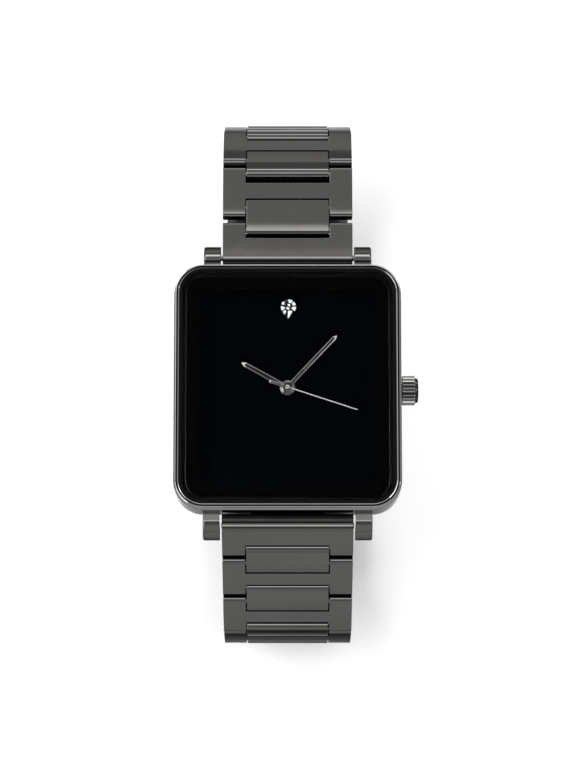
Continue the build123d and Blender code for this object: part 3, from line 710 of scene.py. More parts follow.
def makeRunTree():
    # sets a shape on one span of the bracelet's pivots, turned to the next pivot
    inputs = [
        ("Shape", "NodeSocketObject", None),
        ("Span", "NodeSocketInt", 0),
        ("Side", "NodeSocketFloat", 1.0),
    ]
    tree, start, end = newShapeTree("braceletRun", inputs)
    links = tree.links
    position = addNode(tree, "GeometryNodeInputPosition")
    index = addNode(tree, "GeometryNodeInputIndex")
    sample = addNode(
        tree, "GeometryNodeSampleIndex", data_type="FLOAT_VECTOR", domain="POINT", clamp=True,
    )
    links.new(start.outputs["Geometry"], sample.inputs["Geometry"])
    links.new(position.outputs[0], sample.inputs["Value"])
    links.new(mathNode(tree, "ADD", index.outputs[0], 1), sample.inputs["Index"])
    span = addNode(tree, "ShaderNodeVectorMath", operation="SUBTRACT")
    links.new(sample.outputs["Value"], span.inputs[0])
    links.new(position.outputs[0], span.inputs[1])
    parts = addNode(tree, "ShaderNodeSeparateXYZ")
    links.new(span.outputs[0], parts.inputs[0])
    along = mathNode(tree, "MULTIPLY", parts.outputs["Y"], start.outputs["Side"])
    slope = mathNode(tree, "ARCTAN2", parts.outputs["Z"], along)
    facing = mathNode(tree, "SUBTRACT", 1.0, start.outputs["Side"])
    facing = mathNode(tree, "MULTIPLY", facing, math.pi / 2)
    turn = addNode(tree, "ShaderNodeCombineXYZ")
    links.new(slope, turn.inputs["X"])
    links.new(facing, turn.inputs["Z"])
    chosen = addNode(tree, "FunctionNodeCompare", data_type="INT", operation="EQUAL")
    wholeInputs = [socket for socket in chosen.inputs if socket.type == "INT"]
    links.new(index.outputs[0], wholeInputs[0])
    links.new(start.outputs["Span"], wholeInputs[1])
    place = placeShape(tree, start, start.outputs["Geometry"])
    links.new(chosen.outputs[0], place.inputs["Selection"])
    links.new(turn.outputs[0], place.inputs["Rotation"])
    paintAndClose(tree, start, end, place.outputs[0])
    return tree


def halfPath(half, count):
    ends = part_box(half + "_spring_bar")
    names = [half + "_end_pivot"]
    if half == "upper":
        names += [f"upper_pivot_{n}" for n in range(1, count + 1)] + ["cover_pivot"]
        return [Vector(joints[name]["pos_m"]) for name in names]
    names += [f"lower_pivot_{n}" for n in range(2, count + 1)] + ["tongue_pivot"]
    return [(ends[0] + ends[1]) / 2] + [Vector(joints[name]["pos_m"]) for name in names]


runGroup = makeRunTree()
shapes = {
    "link": addObject("linkShape", makeLinkMesh()),
    "block": addObject("blockShape", makeBlockMesh()),
    "endLink": addObject("endLinkShape", makeEndLinkMesh()),
    "pins": addObject("pinShape", makePinMesh()),
}
linkCounts = {"upper": 7, "lower": 6}


def makeHalf(half, linkCount):
    side = 1.0 if half == "upper" else -1.0
    path = halfPath(half, linkCount)
    carrier = makeCarrier(half + "Path", path)

    def spanMesh(shape, number, material, name):
        values = {"Shape": shapes[shape], "Span": number, "Side": side}
        values["Material"] = finishes[material]
        return runTree(carrier, runGroup, name, values)

    name = half + "EndLink"
    mesh = spanMesh("endLink", 0, "linkMetal", name)
    metals = ["linkMetal", "pinMetal"]
    newPiece(name, mesh, metals, half + "_end", [half + "_end_link"])
    noseReach = (endLinkShape["noseRadius"] + endLinkShape["lipReach"]) * mm
    # the lip's faces take the lighter pin metal, a painted light on a nook that lies in shade
    for face in mesh.polygons:
        outwards = (face.center.y - path[0].y) * side
        reach = math.hypot(outwards, face.center.z - path[0].z)
        face.material_index = 1 if outwards < 0 and reach > noseReach else 0
    for number in range(1, linkCount + 1):
        body = f"{half}_{number}"
        rows = (
            ("link", "Link", "linkMetal", [f"{half}_link_{number}"], "link_steel"),
            ("block", "Block", "blockMetal", [f"{half}_block_{number}"], "block_steel"),
            ("pins", "Pins", "pinMetal", [], "pin_steel"),
        )
        for shape, label, material, nodes, slot in rows:
            name = f"{half}{label}{number}"
            mesh = spanMesh(shape, number, material, name)
            newPiece(name, mesh, material, body, nodes)
    bpy.data.objects.remove(carrier)


for half, linkCount in linkCounts.items():
    makeHalf(half, linkCount)
for shape in shapes.values():
    bpy.data.objects.remove(shape)
print("bracelet made", linkCounts)


def makeFrameTree():
    # sweeps the carrier's closed profile round a rectangle with rounded corners
    inputs = [
        ("Width", "NodeSocketFloat", 0.03),
        ("Length", "NodeSocketFloat", 0.03),
        ("Corner", "NodeSocketFloat", 0.004),
        ("Segments", "NodeSocketInt", 16),
    ]
    tree, start, end = newShapeTree("sweptFrame", inputs)
    links = tree.links
    rectangle = addNode(tree, "GeometryNodeCurvePrimitiveQuadrilateral")
    links.new(start.outputs["Width"], rectangle.inputs["Width"])
    links.new(start.outputs["Length"], rectangle.inputs["Height"])
    corners = addNode(tree, "GeometryNodeFilletCurve", mode="POLY")
    links.new(rectangle.outputs[0], corners.inputs["Curve"])
    links.new(start.outputs["Segments"], corners.inputs["Count"])
    links.new(start.outputs["Corner"], corners.inputs["Radius"])
    upright = addNode(tree, "GeometryNodeSetCurveNormal", mode="Z_UP")
    links.new(corners.outputs[0], upright.inputs["Curve"])
    profile = addNode(tree, "GeometryNodeMeshToCurve")
    links.new(start.outputs["Geometry"], profile.inputs["Mesh"])
    sweep = addNode(tree, "GeometryNodeCurveToMesh")
    links.new(upright.outputs[0], sweep.inputs["Curve"])
    links.new(profile.outputs[0], sweep.inputs["Profile Curve"])
    paintAndClose(tree, start, end, sweep.outputs[0])
    return tree


def makeRingTree():
    # sets copies of a shape round an axis through the carrier's first point
    inputs = [
        ("Shape", "NodeSocketObject", None),
        ("Count", "NodeSocketInt", 12),
        ("Axis", "NodeSocketVector", (0.0, 0.0, 1.0)),
    ]
    tree, start, end = newShapeTree("shapeRing", inputs)
    links = tree.links
    place = addNode(tree, "GeometryNodeDuplicateElements", domain="POINT")
    links.new(start.outputs["Geometry"], place.inputs["Geometry"])
    links.new(start.outputs["Count"], place.inputs["Amount"])
    stepAngle = mathNode(tree, "DIVIDE", 2 * math.pi, start.outputs["Count"])
    angle = mathNode(tree, "MULTIPLY", place.outputs["Duplicate Index"], stepAngle)
    turn = addNode(tree, "ShaderNodeVectorMath", operation="SCALE")
    links.new(start.outputs["Axis"], turn.inputs[0])
    links.new(angle, turn.inputs["Scale"])
    copies = placeShape(tree, start, place.outputs["Geometry"])
    links.new(turn.outputs[0], copies.inputs["Rotation"])
    paintAndClose(tree, start, end, copies.outputs[0])
    return tree


frameGroup = makeFrameTree()
ringGroup = makeRingTree()


def sweptRing(name, profile, width, length, corner, material, segments=18):
    # profile is a closed loop of (millimetres out from the path, height)
    carrier = makeCarrier(name, [(out * mm, -height * mm, 0) for out, height in profile], True)
    values = {"Width": width * mm, "Length": length * mm, "Corner": corner * mm}
    values.update({"Segments": segments, "Material": finishes[material]})
    mesh = runTree(carrier, frameGroup, name, values)
    bpy.data.objects.remove(carrier)
    work = bmesh.new()
    work.from_mesh(mesh)
    bpy.data.meshes.remove(mesh)
    return finishMesh(work, name)


def ringOf(name, shapeMesh, count, axis, centre, material):
    carrier = makeCarrier(name, [[value * mm for value in centre]])
    shape = addObject(name + "Shape", shapeMesh)
    values = {"Shape": shape, "Count": count, "Axis": axis, "Material": finishes[material]}
    mesh = runTree(carrier, ringGroup, name, values)
    bpy.data.objects.remove(carrier)
    bpy.data.objects.remove(shape)
    return mesh


def bodyOf(node):
    return next(name for name, nodes in bodies.items() if node in nodes)


def replaceNode(node, name, mesh, materials):
    return newPiece(name, mesh, materials, bodyOf(node), [node])


bezelShape = {
    "width": 33.2,
    "length": 36.2,
    "corner": 4.2,
    "floor": 6.9,
    "top": 8.6,
    "lip": 0.02,
    "bevelWidth": 0.17,
    "bevelDrop": 0.1,
    "grooveEnd": 0.42,
    "grooveDepth": 0.1,
    "grooveSlopes": (0.5, 0.9),
    "rim": 0.57,
    # painted light of the frame: its sides, the faces towards 12 o'clock and 6 o'clock, and the inner ring at 12
    # o'clock
    "sideShade": 0.11,
    "upShade": 0.6,
    "downShade": 0.19,
    "innerShade": 0.04,
    "seatWidth": 1.8,
    "seatHeight": 7.3,
}


def makeBezel():
    s = bezelShape
    top, groove = s["top"], s["top"] - s["grooveDepth"]
    bevelEnd, lip, near = s["bevelWidth"], s["lip"], s["lip"] / 2
    steep, level = s["grooveSlopes"]
    profile = [
        (0, s["floor"]),
        (0, top - s["bevelDrop"] - lip),
        (-lip, top - s["bevelDrop"]),
        (-bevelEnd, top),
        (-bevelEnd - lip, groove),
        (-s["grooveEnd"] + lip, groove),
        (-s["grooveEnd"], top),
        (-s["rim"] + lip, top - s["bevelDrop"]),
        (-s["rim"], top - s["bevelDrop"] - lip),
        (-s["rim"], s["seatHeight"]),
        (-s["seatWidth"], s["seatHeight"]),
        (-s["seatWidth"], s["floor"]),
    ]
    mesh = sweptRing("bezel", profile, s["width"], s["length"], s["corner"], "bezelMetal")
    replaceNode("bezel", "bezelFrame", mesh, ["bezelMetal", "borderPrint"])
    # the groove's faces take the black border print as a painted shade in the recess
    for face in mesh.polygons:
        inGroove = face.center.z > (groove - near) * mm and face.normal.z < steep
        atFloor = abs(face.center.z - groove * mm) < near * mm and face.normal.z > level
        face.material_index = 1 if inGroove or atFloor else 0
    paintedLight = mesh.attributes.new("paintedLight", "FLOAT", "FACE")
    # each side of the frame has its own painted shade, lighter or darker by where the light falls on it
    for face in mesh.polygons:
        across, along = face.normal.x ** 2, face.normal.y ** 2
        share = (along / (across + along)) ** 2 if across + along > 0.01 else 0.0
        end = s["upShade"] if face.normal.y > 0 else s["downShade"]
        if face.normal.y < 0 < face.center.y:
            end = s["innerShade"]
        paintedLight.data[face.index].value = s["sideShade"] + (end - s["sideShade"]) * share


gasketShape = {
    "outer": 0.58, "inner": 1.0, "top": 8.43, "seat": 7.5, "floor": 7.3, "reach": 1.62,
    "rounding": 0.05,
}


def makeGasket():
    s, b = gasketShape, bezelShape
    rounding = s["rounding"]
    profile = [
        (-s["outer"], s["floor"]),
        (-s["outer"], s["top"] - rounding),
        (-s["outer"] - rounding, s["top"]),
        (-s["inner"] + rounding, s["top"]),
        (-s["inner"], s["top"] - rounding),
        (-s["inner"], s["seat"] - rounding),
        (-s["reach"], s["seat"] - rounding),
        (-s["reach"], s["floor"]),
    ]
    mesh = sweptRing("gasket", profile, b["width"], b["length"], b["corner"], "gasketRubber")
    replaceNode("crystal_gasket", "crystalGasketRing", mesh, "gasketRubber")


printShape = {
    "width": 29.9, "length": 32.9, "corner": 2.55, "band": 2.05, "low": 7.44, "high": 7.48,
    "segments": 10,
}


def makeBorderPrint():
    # the black border that is printed under the crystal
    s = printShape
    profile = [(0, s["low"]), (0, s["high"]), (-s["band"], s["high"]), (-s["band"], s["low"])]
    mesh = sweptRing(
        "border", profile, s["width"], s["length"], s["corner"], "borderPrint", s["segments"],
    )
    newPiece("crystalBorderPrint", mesh, "borderPrint", bodyOf("crystal"), ())


crystalSlopes = (0.2, 0.95)  # between these heights the normal is on the bevelled edge


def makeCrystal():
    mesh = finishMesh(cadCopy("crystal"), "crystalDressed")
    replaceNode("crystal", "crystalPane", mesh, ["crystalGlass", "crystalEdge"])
    low, high = crystalSlopes
    for face in mesh.polygons:
        face.material_index = 1 if low < face.normal.z < high else 0


makeBezel()
makeGasket()
makeBorderPrint()
makeCrystal()
print("bezel and crystal made")


# a face value for the painted light and shade of each face
def paintedLightLayer(work):
    return work.faces.layers.float.new("paintedLight")


def lathe(work, rows, axis="Z", centre=(0, 0, 0), segments=48, layer=None):
    # rows are (radius, height along the axis, the painted light of the band that starts here)
    rings = []
    for radius, height, _ in rows:
        ring = []
        for step in range(segments if radius else 1):
            angle = 2 * math.pi * step / segments
            side, up = radius * math.cos(angle), radius * math.sin(angle)
            point = (side, up, height) if axis == "Z" else (height, side, up)
            ring.append(work.verts.new([(a + b) * mm for a, b in zip(point, centre)]))
        rings.append(ring)
    for (low, high), (_, _, shade) in zip(zip(rings, rings[1:]), rows):
        for step in range(segments):
            after = (step + 1) % segments
            corners = [low[step % len(low)], low[after % len(low)]]
            corners += [high[after % len(high)], high[step % len(high)]]
            corners = [c for i, c in enumerate(corners) if c not in corners[:i]]
            face = work.faces.new(corners)
            if layer:
                face[layer] = shade


def insetOutline(outline, distance, sharpest=0.3):
    # moves each side of a convex outline inwards and meets the sides again
    result = []
    count = len(outline)
    for index in range(count):
        a, b, c = (Vector(outline[(index + k) % count]) for k in (-1, 0, 1))
        first, second = (b - a).normalized(), (c - b).normalized()
        normals = Vector((-first.y, first.x)), Vector((-second.y, second.x))
        bisector = (normals[0] + normals[1]).normalized()
        result.append(tuple(b + bisector * distance / max(sharpest, bisector.dot(normals[0]))))
    return result


def bevelledPlate(work, layer, outline, low, high, bevel, shades):
    # outline runs anticlockwise in millimetres, bevel is (inset, drop), shades (face, edge) the painted light of
    # the flat faces and of the bevel
    inner = insetOutline(outline, bevel[0])
    rings = [
        [work.verts.new((x * mm, y * mm, height * mm)) for x, y in line]
        for line, height in ((outline, low), (outline, high - bevel[1]), (inner, high))
    ]
    work.faces.new(rings[0][::-1])[layer] = shades[0]
    for face in joinRings(work, rings):
        face[layer] = shades[1]
    work.faces.new(rings[2])[layer] = shades[0]


# a hub's painted shades go from its bore out, up and back in; the hands' faces are painted dark and their bevels
# bright, as painted reflection and painted highlight
handShapes = {
    "hour_hand": {
        "angle": 298.9, "length": 7.8, "width": 0.7, "tip": 0.7, "hub": 1.1, "bore": 0.87,
        "floor": 6.2,
    },
    "minute_hand": {
        "angle": 43.05, "length": 10.7, "width": 0.62, "tip": 0.6, "hub": 0.85, "bore": 0.52,
        "floor": 6.5,
    },
    "thickness": 0.12,
    "start": 0.8,
    "bevel": (0.15, 0.08),
    "shades": (0.008, 0.18),
    "hubBevel": 0.14,
    "hubShades": (0.02, 0.05, 0.14, 0.022, 0.02, 0.02),
}


def turned(points, angle):
    # clockwise from 12 o'clock, in degrees
    cosine, sine = math.cos(math.radians(-angle)), math.sin(math.radians(-angle))
    return [(x * cosine - y * sine, x * sine + y * cosine) for x, y in points]


def makeHand(node):
    s, shape = handShapes, handShapes[node]
    half, low = shape["width"] / 2, shape["floor"]
    high = low + s["thickness"]
    start, shoulder = shape["hub"] * s["start"], shape["length"] - shape["tip"]
    outline = [
        (-half, start), (half, start), (half, shoulder), (0, shape["length"]), (-half, shoulder),
    ]
    work = bmesh.new()
    layer = paintedLightLayer(work)
    outline = turned(outline, shape["angle"])
    bevelledPlate(work, layer, outline, low, high, s["bevel"], s["shades"])
    hub, bore = shape["hub"], shape["bore"]
    line = [
        (bore, low), (hub, low), (hub, high - s["bevel"][1]), (hub - s["hubBevel"], high),
        (bore, high), (bore, low),
    ]
    lathe(work, [(r, z, shade) for (r, z), shade in zip(line, s["hubShades"])], layer=layer)
    mesh = finishMesh(work, node)
    replaceNode(node, node.split("_")[0] + "HandPiece", mesh, "handMetal")


# the second hand's shades are painted light: a lit needle, dark tail faces with bright bevels, and a bright
# painted ring round the hub's pivot
secondShape = {
    "angle": 108.2,
    "length": 10.9,
    "width": 0.2,
    "point": 0.15,
    "taper": 0.8,
    "start": 0.3,
    "floor": 6.8,
    "thickness": 0.12,
    "needleBevel": (0.03, 0.02),
    "needleShades": (0.26, 0.14),
    "tail": 2.84,
    "tailWidth": 0.4,
    "tailBevel": (0.12, 0.07),
    "tailShades": (0.02, 0.2),
    "hub": 0.5,
    "hubHeight": 0.26,
    "hubBevel": 0.08,
    "hubShades": (0.02, 0.02, 0.03, 0.012, 0.42, 0.01, 0.01, 0.01),
    "pivot": (0.29, 0.13, 0.1),
    "pivotDepth": 0.03,
    "staff": 0.14,
    "staffFloor": 3.0,
    "staffShade": 0.3,
}


def makeSecondHand():
    s = secondShape
    low, high = s["floor"], s["floor"] + s["thickness"]
    top, shoulder = low + s["hubHeight"], s["length"] - s["point"]
    work = bmesh.new()
    layer = paintedLightLayer(work)
    half, point = s["width"] / 2, s["width"] / 2 * s["taper"]
    needle = [
        (-half, s["start"]), (half, s["start"]), (point, shoulder), (0, s["length"]),
        (-point, shoulder),
    ]
    needle = turned(needle, s["angle"])
    bevelledPlate(work, layer, needle, low, high, s["needleBevel"], s["needleShades"])
    half = s["tailWidth"] / 2
    end = [(x, y - s["tail"] + half) for x, y in arcPoints(0, 0, half, 180, 360, 8)]
    tail = turned(end + [(half, -s["start"]), (-half, -s["start"])], s["angle"])
    bevelledPlate(work, layer, tail, low, high, s["tailBevel"], s["tailShades"])
    hub, pivot, hole = s["hub"], s["pivot"], top - s["pivotDepth"]
    line = [
        (0, low), (hub, low), (hub, top - s["hubBevel"]), (hub - s["hubBevel"], top),
        (pivot[0], top), (pivot[1], top), (pivot[2], hole), (0, hole),
    ]
    lathe(work, [(r, z, shade) for (r, z), shade in zip(line, s["hubShades"])], layer=layer)
    staff = [(0, s["staffFloor"]), (s["staff"], s["staffFloor"]), (s["staff"], low), (0, low)]
    lathe(work, [(r, z, s["staffShade"]) for r, z in staff], segments=16, layer=layer)
    replaceNode("second_hand", "secondHandPiece", finishMesh(work, "second_hand"), "handMetal")


makeHand("hour_hand")
makeHand("minute_hand")
makeSecondHand()
print("hands made")

stoneShape = {
    "centreY": 11.95,
    "shiftX": 0.12,
    "shiftY": 0.22,
    "radius": 1.12,
    "point": 1.9,
    "floor": 5.9,
    "edge": 6.02,
    "table": 6.45,
    "bodyStep": 12,
    "bodyBevel": (0.1, 0.06),
    # the body's dark shades are painted shade
    "bodyShades": (0.004, 0.01),
    "tableShare": 0.5,
    "facetLift": 0.05,
    "facetBevel": (0.03, 0.04),
    "facetSideShade": 0.02,
    "facetTaper": 0.8,
    # angle from 12 o'clock, half width in degrees, inner share, outer share, shade, which is a painted reflection
    "facets": (
        (18, 16, 0.62, 0.99, 0.95),
        (60, 13, 0.66, 0.99, 0.95),
        (106, 15, 0.54, 0.99, 0.95),
        (217, 10, 0.6, 0.97, 0.95),
        (258, 15, 0.57, 0.98, 0.95),
        (305, 12, 0.72, 0.98, 0.85),
        (338, 7, 0.72, 0.96, 0.12),
    ),
    # corners round the middle of the stone's round end, shade, a painted reflection
    "tableFacets": (
        (((-0.16, 0.44), (-0.1, 0.12), (0.16, -0.02), (0.34, 0.2), (0.16, 0.42)), 0.95),
        (((-0.42, -0.16), (-0.14, -0.5), (0.16, -0.42), (0.2, -0.26), (-0.1, 0.0)), 0.9),
        (((0.26, -0.06), (0.3, -0.3), (0.46, -0.2), (0.46, 0.02)), 0.4),
        (((-0.6, 0.3), (-0.46, 0.12), (-0.3, 0.24), (-0.4, 0.42)), 0.3),
        (((-0.08, -0.62), (-0.12, -1.72), (0.02, -1.78), (0.6, -0.74), (0.42, -0.58)), 0.95),
        (((-0.42, -0.82), (-0.2, -1.5), (-0.18, -0.72)), 0.02),
    ),
}


def stoneReach(angle):
    # how far the pear outline lies from the middle of its round end
    s = stoneShape
    touch = 180 - math.degrees(math.acos(s["radius"] / s["point"]))
    turn = min(angle % 360, 360 - angle % 360)
    return s["radius"] / math.cos(math.radians(turn - touch)) if turn > touch else s["radius"]


def stonePoint(angle, share):
    reach = stoneReach(angle) * share
    return (reach * math.sin(math.radians(angle)), reach * math.cos(math.radians(angle)))


def makeStone():
    s = stoneShape
    work = bmesh.new()
    layer = paintedLightLayer(work)
    share = s["tableShare"]
    crownHeight = s["edge"] + (s["table"] - s["edge"]) * share

    def heightAt(x, y):
        reach = stoneReach(math.degrees(math.atan2(x, y)))
        return s["table"] if math.hypot(x, y) / reach < share else crownHeight

    def moved(points, shiftY):
        return [(x + s["shiftX"], y + s["centreY"] + shiftY) for x, y in points]

    def facet(points, shade):
        low, high = s["floor"] + s["facetLift"], max(heightAt(x, y) for x, y in points)
        shades = (shade, s["facetSideShade"])
        bevelledPlate(work, layer, moved(points, s["shiftY"]), low, high, s["facetBevel"], shades)

    body = [stonePoint(-angle, 1.0) for angle in range(0, 360, s["bodyStep"])]
    body = moved(body, s["shiftY"] / 2)
    bevelledPlate(work, layer, body, s["floor"], s["edge"], s["bodyBevel"], s["bodyShades"])
    for angle, half, inner, outer, shade in s["facets"]:
        narrow = half * s["facetTaper"]
        corners = [
            stonePoint(angle - narrow, inner), stonePoint(angle + narrow, inner),
            stonePoint(angle + half, outer), stonePoint(angle - half, outer),
        ]
        facet(corners[::-1], shade)
    for points, shade in s["tableFacets"]:
        facet(points, shade)
    replaceNode("dial_stone", "dialStoneFacets", finishMesh(work, "stone"), "stoneFoil")


makeStone()
print("stone made")

crownShape = {
    "start": 16.95,
    "length": 1.9,
    "height": 3.7,
    "radius": 2.2,
    "root": 1.94,
    "ridges": 24,
    "ridgeFoot": 0.19,
    "ridgeHead": 0.1,
    "ridgeSink": 0.08,
    "ridgeRound": 0.05,
    "taper": 0.08,
    "edge": 0.08,
    "capRadius": 1.85,
    "capLength": 0.5,
    "capBevel": 0.3,
    "capCorner": 0.3,
    "skirtRadius": 1.1,
    "skirtDepth": 1.2,
}


def makeRidge():
    # one rounded ridge of the crown, lying along X at the top of its ring
    s = crownShape
    start, end = s["start"], s["start"] + s["length"]
    low, high = s["root"] - s["ridgeSink"], s["radius"]
    foot, head, taper = s["ridgeFoot"], s["ridgeHead"], s["taper"]
    shoulder = high - s["ridgeRound"]
    section = [(-foot, low), (-head, shoulder), (-head / 2, high), (head / 2, high)]
    section += [(head, shoulder), (foot, low)]
    work = bmesh.new()
    rings = []
    for x, drop in ((start, taper), (start + taper, 0), (end - taper, 0), (end, taper)):
        rings.append([work.verts.new((x * mm, y * mm, (z - drop) * mm)) for y, z in section])
    joinRings(work, rings)
    work.faces.new(rings[0])
    work.faces.new(rings[-1][::-1])
    return finishMesh(work, "ridge")


def makeCrown():
    s = crownShape
    start, end = s["start"], s["start"] + s["length"]
    capEnd, floor = end + s["capLength"], s["start"] + s["skirtDepth"]
    bevel, edge = s["capBevel"], s["edge"]
    skirt, root, cap, corner = s["skirtRadius"], s["root"], s["capRadius"], bevel * s["capCorner"]
    rows = [
        (0, floor), (skirt, floor), (skirt, start), (root - edge, start), (root, start + edge),
        (root, end - edge), (root - edge, end), (cap, end), (cap, capEnd - bevel),
        (cap - corner, capEnd - corner), (cap - bevel, capEnd), (0, capEnd),
    ]
    work = bmesh.new()
    lathe(work, [(r, x, 0) for r, x in rows], "X", (0, 0, s["height"]))
    body = finishMesh(work, "crownBody")
    axis, centre = (1.0, 0.0, 0.0), (0, 0, s["height"])
    ridges = ringOf("crownRidges", makeRidge(), s["ridges"], axis, centre, "crownMetal")
    smoothByAngle(ridges)
    # the ridges get the lighter metal and the body the darker, a painted highlight and a painted shade
    replaceNode("crown", "crownBody", body, "crownMetal")
    newPiece("crownRidges", ridges, "ridgeMetal", bodyOf("crown"), ())


makeCrown()
print("crown made")

screwShape = {
    "head": 0.65, "headHeight": 0.5, "shank": 0.35, "length": 2.4, "slot": 0.22, "slotDepth": 0.2,
    "steps": 12, "bevel": 0.02,
    "places": ((14.7, 16.2), (-14.7, 16.2), (-14.7, -16.2), (14.7, -16.2)),
}


def makeScrew():
    # a slotted screw that points up, with its head's face at height 0
    s = screwShape
    radius, half, depth, under = s["head"], s["slot"] / 2, s["slotDepth"], s["headHeight"]
    edge, steps = math.asin(half / radius), s["steps"]
    work = bmesh.new()

    def wall(start, end, low, high):
        (x0, y0), (x1, y1) = start, end
        addFace(work, [(x0, y0, low), (x1, y1, low), (x1, y1, high), (x0, y0, high)])

    for side in (0.0, math.pi):
        cap = [side + edge + (math.pi - 2 * edge) * i / steps for i in range(steps + 1)]
        arc = [(radius * math.cos(a), radius * math.sin(a)) for a in cap]
        addFace(work, [(x, y, 0) for x, y in arc])
        for start, end in zip(arc, arc[1:]):
            wall(start, end, 0, under)
        wall(arc[0], arc[-1], 0, depth)
        x, y = arc[0]
        wall((x, y), (x, -y), depth, under)
    x = radius * math.cos(edge)
    addFace(work, [(-x, -half, depth), (x, -half, depth), (x, half, depth), (-x, half, depth)])
    toMetres(work)
    shank, end = s["shank"], s["length"]
    lathe(work, [(radius, under, 0), (shank, under, 0), (shank, end, 0), (0, end, 0)], segments=24)
    return finishMesh(work, "screw", s["bevel"] * mm, 2, angle=60.0)


def makePointsTree():
    # sets a shape on each of the carrier's points
    tree, start, end = newShapeTree("shapeOnPoints", [("Shape", "NodeSocketObject", None)])
    copies = placeShape(tree, start, start.outputs["Geometry"])
    paintAndClose(tree, start, end, copies.outputs[0])
    return tree


def makeScrews():
    carrier = makeCarrier("screwPlaces", [(x * mm, y * mm, 0) for x, y in screwShape["places"]])
    screw = addObject("screw", makeScrew())
    values = {"Shape": screw, "Material": finishes["pinMetal"]}
    mesh = runTree(carrier, makePointsTree(), "backScrews", values)
    bpy.data.objects.remove(carrier)
    bpy.data.objects.remove(screw)
    replaceNode("case_back_screws", "caseBackScrews", mesh, "pinMetal")


makeScrews()
print("screws made")

# the finish of a CAD node whose edges are broken, and how much in millimetres
dressedNodes = {
    "clasp_cover": ("claspMetal", 0.08),
    "clasp_frame_blade": ("claspMetal", 0.06),
    "clasp_tongue_blade": ("claspMetal", 0.08),
    "case_back": ("backMetal", 0.04),
}
for node, (material, bevel) in dressedNodes.items():
    mesh = finishMesh(cadCopy(node), node + "Dressed", bevel * mm)
    replaceNode(node, node.replace("_", "") + "Dressed", mesh, material)
replaceNode("mid_case", "midCaseDressed", makeCase(), "caseMetal")

# CAD nodes that keep their own mesh
plainNodes = {
    "dial": "dialLacquer",
    "hour_wheel": "bridgeNickel",
    "cannon_pinion": "pinMetal",
    "minute_wheel": "movementBrass",
    "main_plate": "movementBrass",
    "train_bridge": "bridgeNickel",
    "battery": "cellSteel",
    "coil": "coilCopper",
    "movement_holder": "holderPlastic",
    "case_back_gasket": "gasketRubber",
    "crown_tube": "pinMetal",
    "stem": "pinMetal",
    "setting_lever": "pinMetal",
    "upper_spring_bar": "pinMetal",
    "lower_spring_bar": "pinMetal",
    "clasp_spring_bar": "pinMetal",
}
for node, material in plainNodes.items():
    mesh = frame["nodes"][node].data
    mesh.materials.clear()
    mesh.materials.append(finishes[material])
print("head made")

studio = {
    "floorDrop": 0.00002,
    "floorReach": 10.0,
    "floorShade": 0.54,
    "floorRoughness": 0.7,
    "floorSpecular": 0.1,
    "cameraTilt": 10.0,
    "cameraDistance": 0.455,
    "aimHeight": 0.0066,
    "lens": 144.6,
    "sensor": 36.0,
    "shift": (0.4, 3.3),  # pixels of a picture as high as pictureHeight
    "pictureHeight": 768,
    "clip": (0.01, 30.0),
    "strength": 10.0,
    # degrees from overhead towards 12 o'clock, and how bright the tent is there
    "lengthwise": (
        (-180, 0.09), (-88, 0.09), (-80, 0.13), (-56, 0.13), (-53, 0.08), (-34, 0.08), (-30, 0.03),
        (-16, 0.03), (-12, 0.48), (5, 0.48), (9, 0.12), (64, 0.12), (68, 0.85), (77, 0.85),
        (80, 0.06), (180, 0.06),
    ),
    # how far a direction leans to the right, and how bright the side panels are there
    "crosswise": (
        (-1.0, 0.1), (-0.965, 0.1), (-0.945, 0.6), (-0.6, 0.6), (-0.55, 0.0), (0.76, 0.0),
        (0.8, 0.15), (1.0, 0.15),
    ),
}


def makeFloor():
    s = studio
    reach, level = s["floorReach"], cadLow.z - s["floorDrop"]
    corners = [(x * reach, y * reach, level) for x, y in ((-1, -1), (1, -1), (1, 1), (-1, 1))]
    mesh = bpy.data.meshes.new("floor")
    mesh.from_pydata(corners, [], [(0, 1, 2, 3)])
    floorObject = addObject("floor", mesh)
    material, tree, shader, place = startMaterial("paleFloor")
    look = {"Roughness": s["floorRoughness"], "Specular IOR Level": s["floorSpecular"]}
    setInputs(shader, {**look, "Base Color": (s["floorShade"],) * 3 + (1,)})
    mesh.materials.append(material)


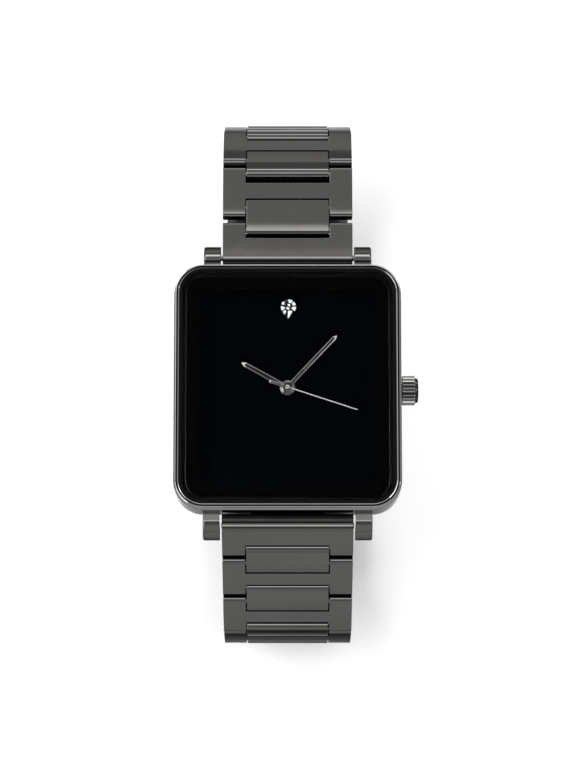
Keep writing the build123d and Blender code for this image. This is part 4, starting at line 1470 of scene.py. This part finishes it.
def panelRamp(sky, value, low, high, stops):
    # spreads (place, brightness) stops over a colour ramp
    spread = addNode(sky, "ShaderNodeMapRange")
    setInputs(spread, {"From Min": low, "From Max": high})
    sky.links.new(value, spread.inputs["Value"])
    ramp = addNode(sky, "ShaderNodeValToRGB")
    elements = ramp.color_ramp.elements
    while len(elements) < len(stops):
        elements.new(0.5)
    for element, (place, bright) in zip(elements, stops):
        element.position = (place - low) / (high - low)
        element.color = (bright, bright, bright, 1)
    sky.links.new(spread.outputs[0], ramp.inputs[0])
    return ramp


def makeStudioWorld():
    # a white tent with an overhead strip and panels behind, in front and at the sides
    world = bpy.data.worlds.new("studio")
    bpy.context.scene.world = world
    world.use_nodes = True
    sky = world.node_tree
    sky.nodes.clear()
    direction = addNode(sky, "ShaderNodeTexCoord")
    split = addNode(sky, "ShaderNodeSeparateXYZ")
    sky.links.new(direction.outputs["Generated"], split.inputs[0])
    lean = mathNode(sky, "ARCTAN2", split.outputs["Y"], split.outputs["Z"])
    lean = mathNode(sky, "MULTIPLY", lean, 180 / math.pi)
    lengthwise = panelRamp(sky, lean, -180.0, 180.0, studio["lengthwise"])
    crosswise = panelRamp(sky, split.outputs["X"], -1.0, 1.0, studio["crosswise"])
    brightest = mathNode(sky, "MAXIMUM", lengthwise.outputs[0], crosswise.outputs[0])
    background = addNode(sky, "ShaderNodeBackground")
    setInputs(background, {"Strength": studio["strength"]})
    sky.links.new(brightest, background.inputs["Color"])
    sky.links.new(background.outputs[0], addNode(sky, "ShaderNodeOutputWorld").inputs[0])


def makeCamera():
    s = studio
    data = bpy.data.cameras.new("camera")
    camera = addObject("camera", data)
    bpy.context.scene.camera = camera
    tilt = math.radians(s["cameraTilt"])
    back = Vector((0, -math.sin(tilt), math.cos(tilt)))
    camera.location = Vector((0, 0, s["aimHeight"])) + back * s["cameraDistance"]
    camera.rotation_mode = "QUATERNION"
    camera.rotation_quaternion = (-back).to_track_quat("-Z", "Y")
    data.lens = s["lens"]
    data.sensor_width = s["sensor"]
    data.sensor_fit = "AUTO"
    data.shift_x, data.shift_y = (shift / s["pictureHeight"] for shift in s["shift"])
    data.clip_start, data.clip_end = s["clip"]


makeFloor()
makeStudioWorld()
makeCamera()
bpy.context.scene.view_settings.view_transform = "Standard"
print("scene ready")
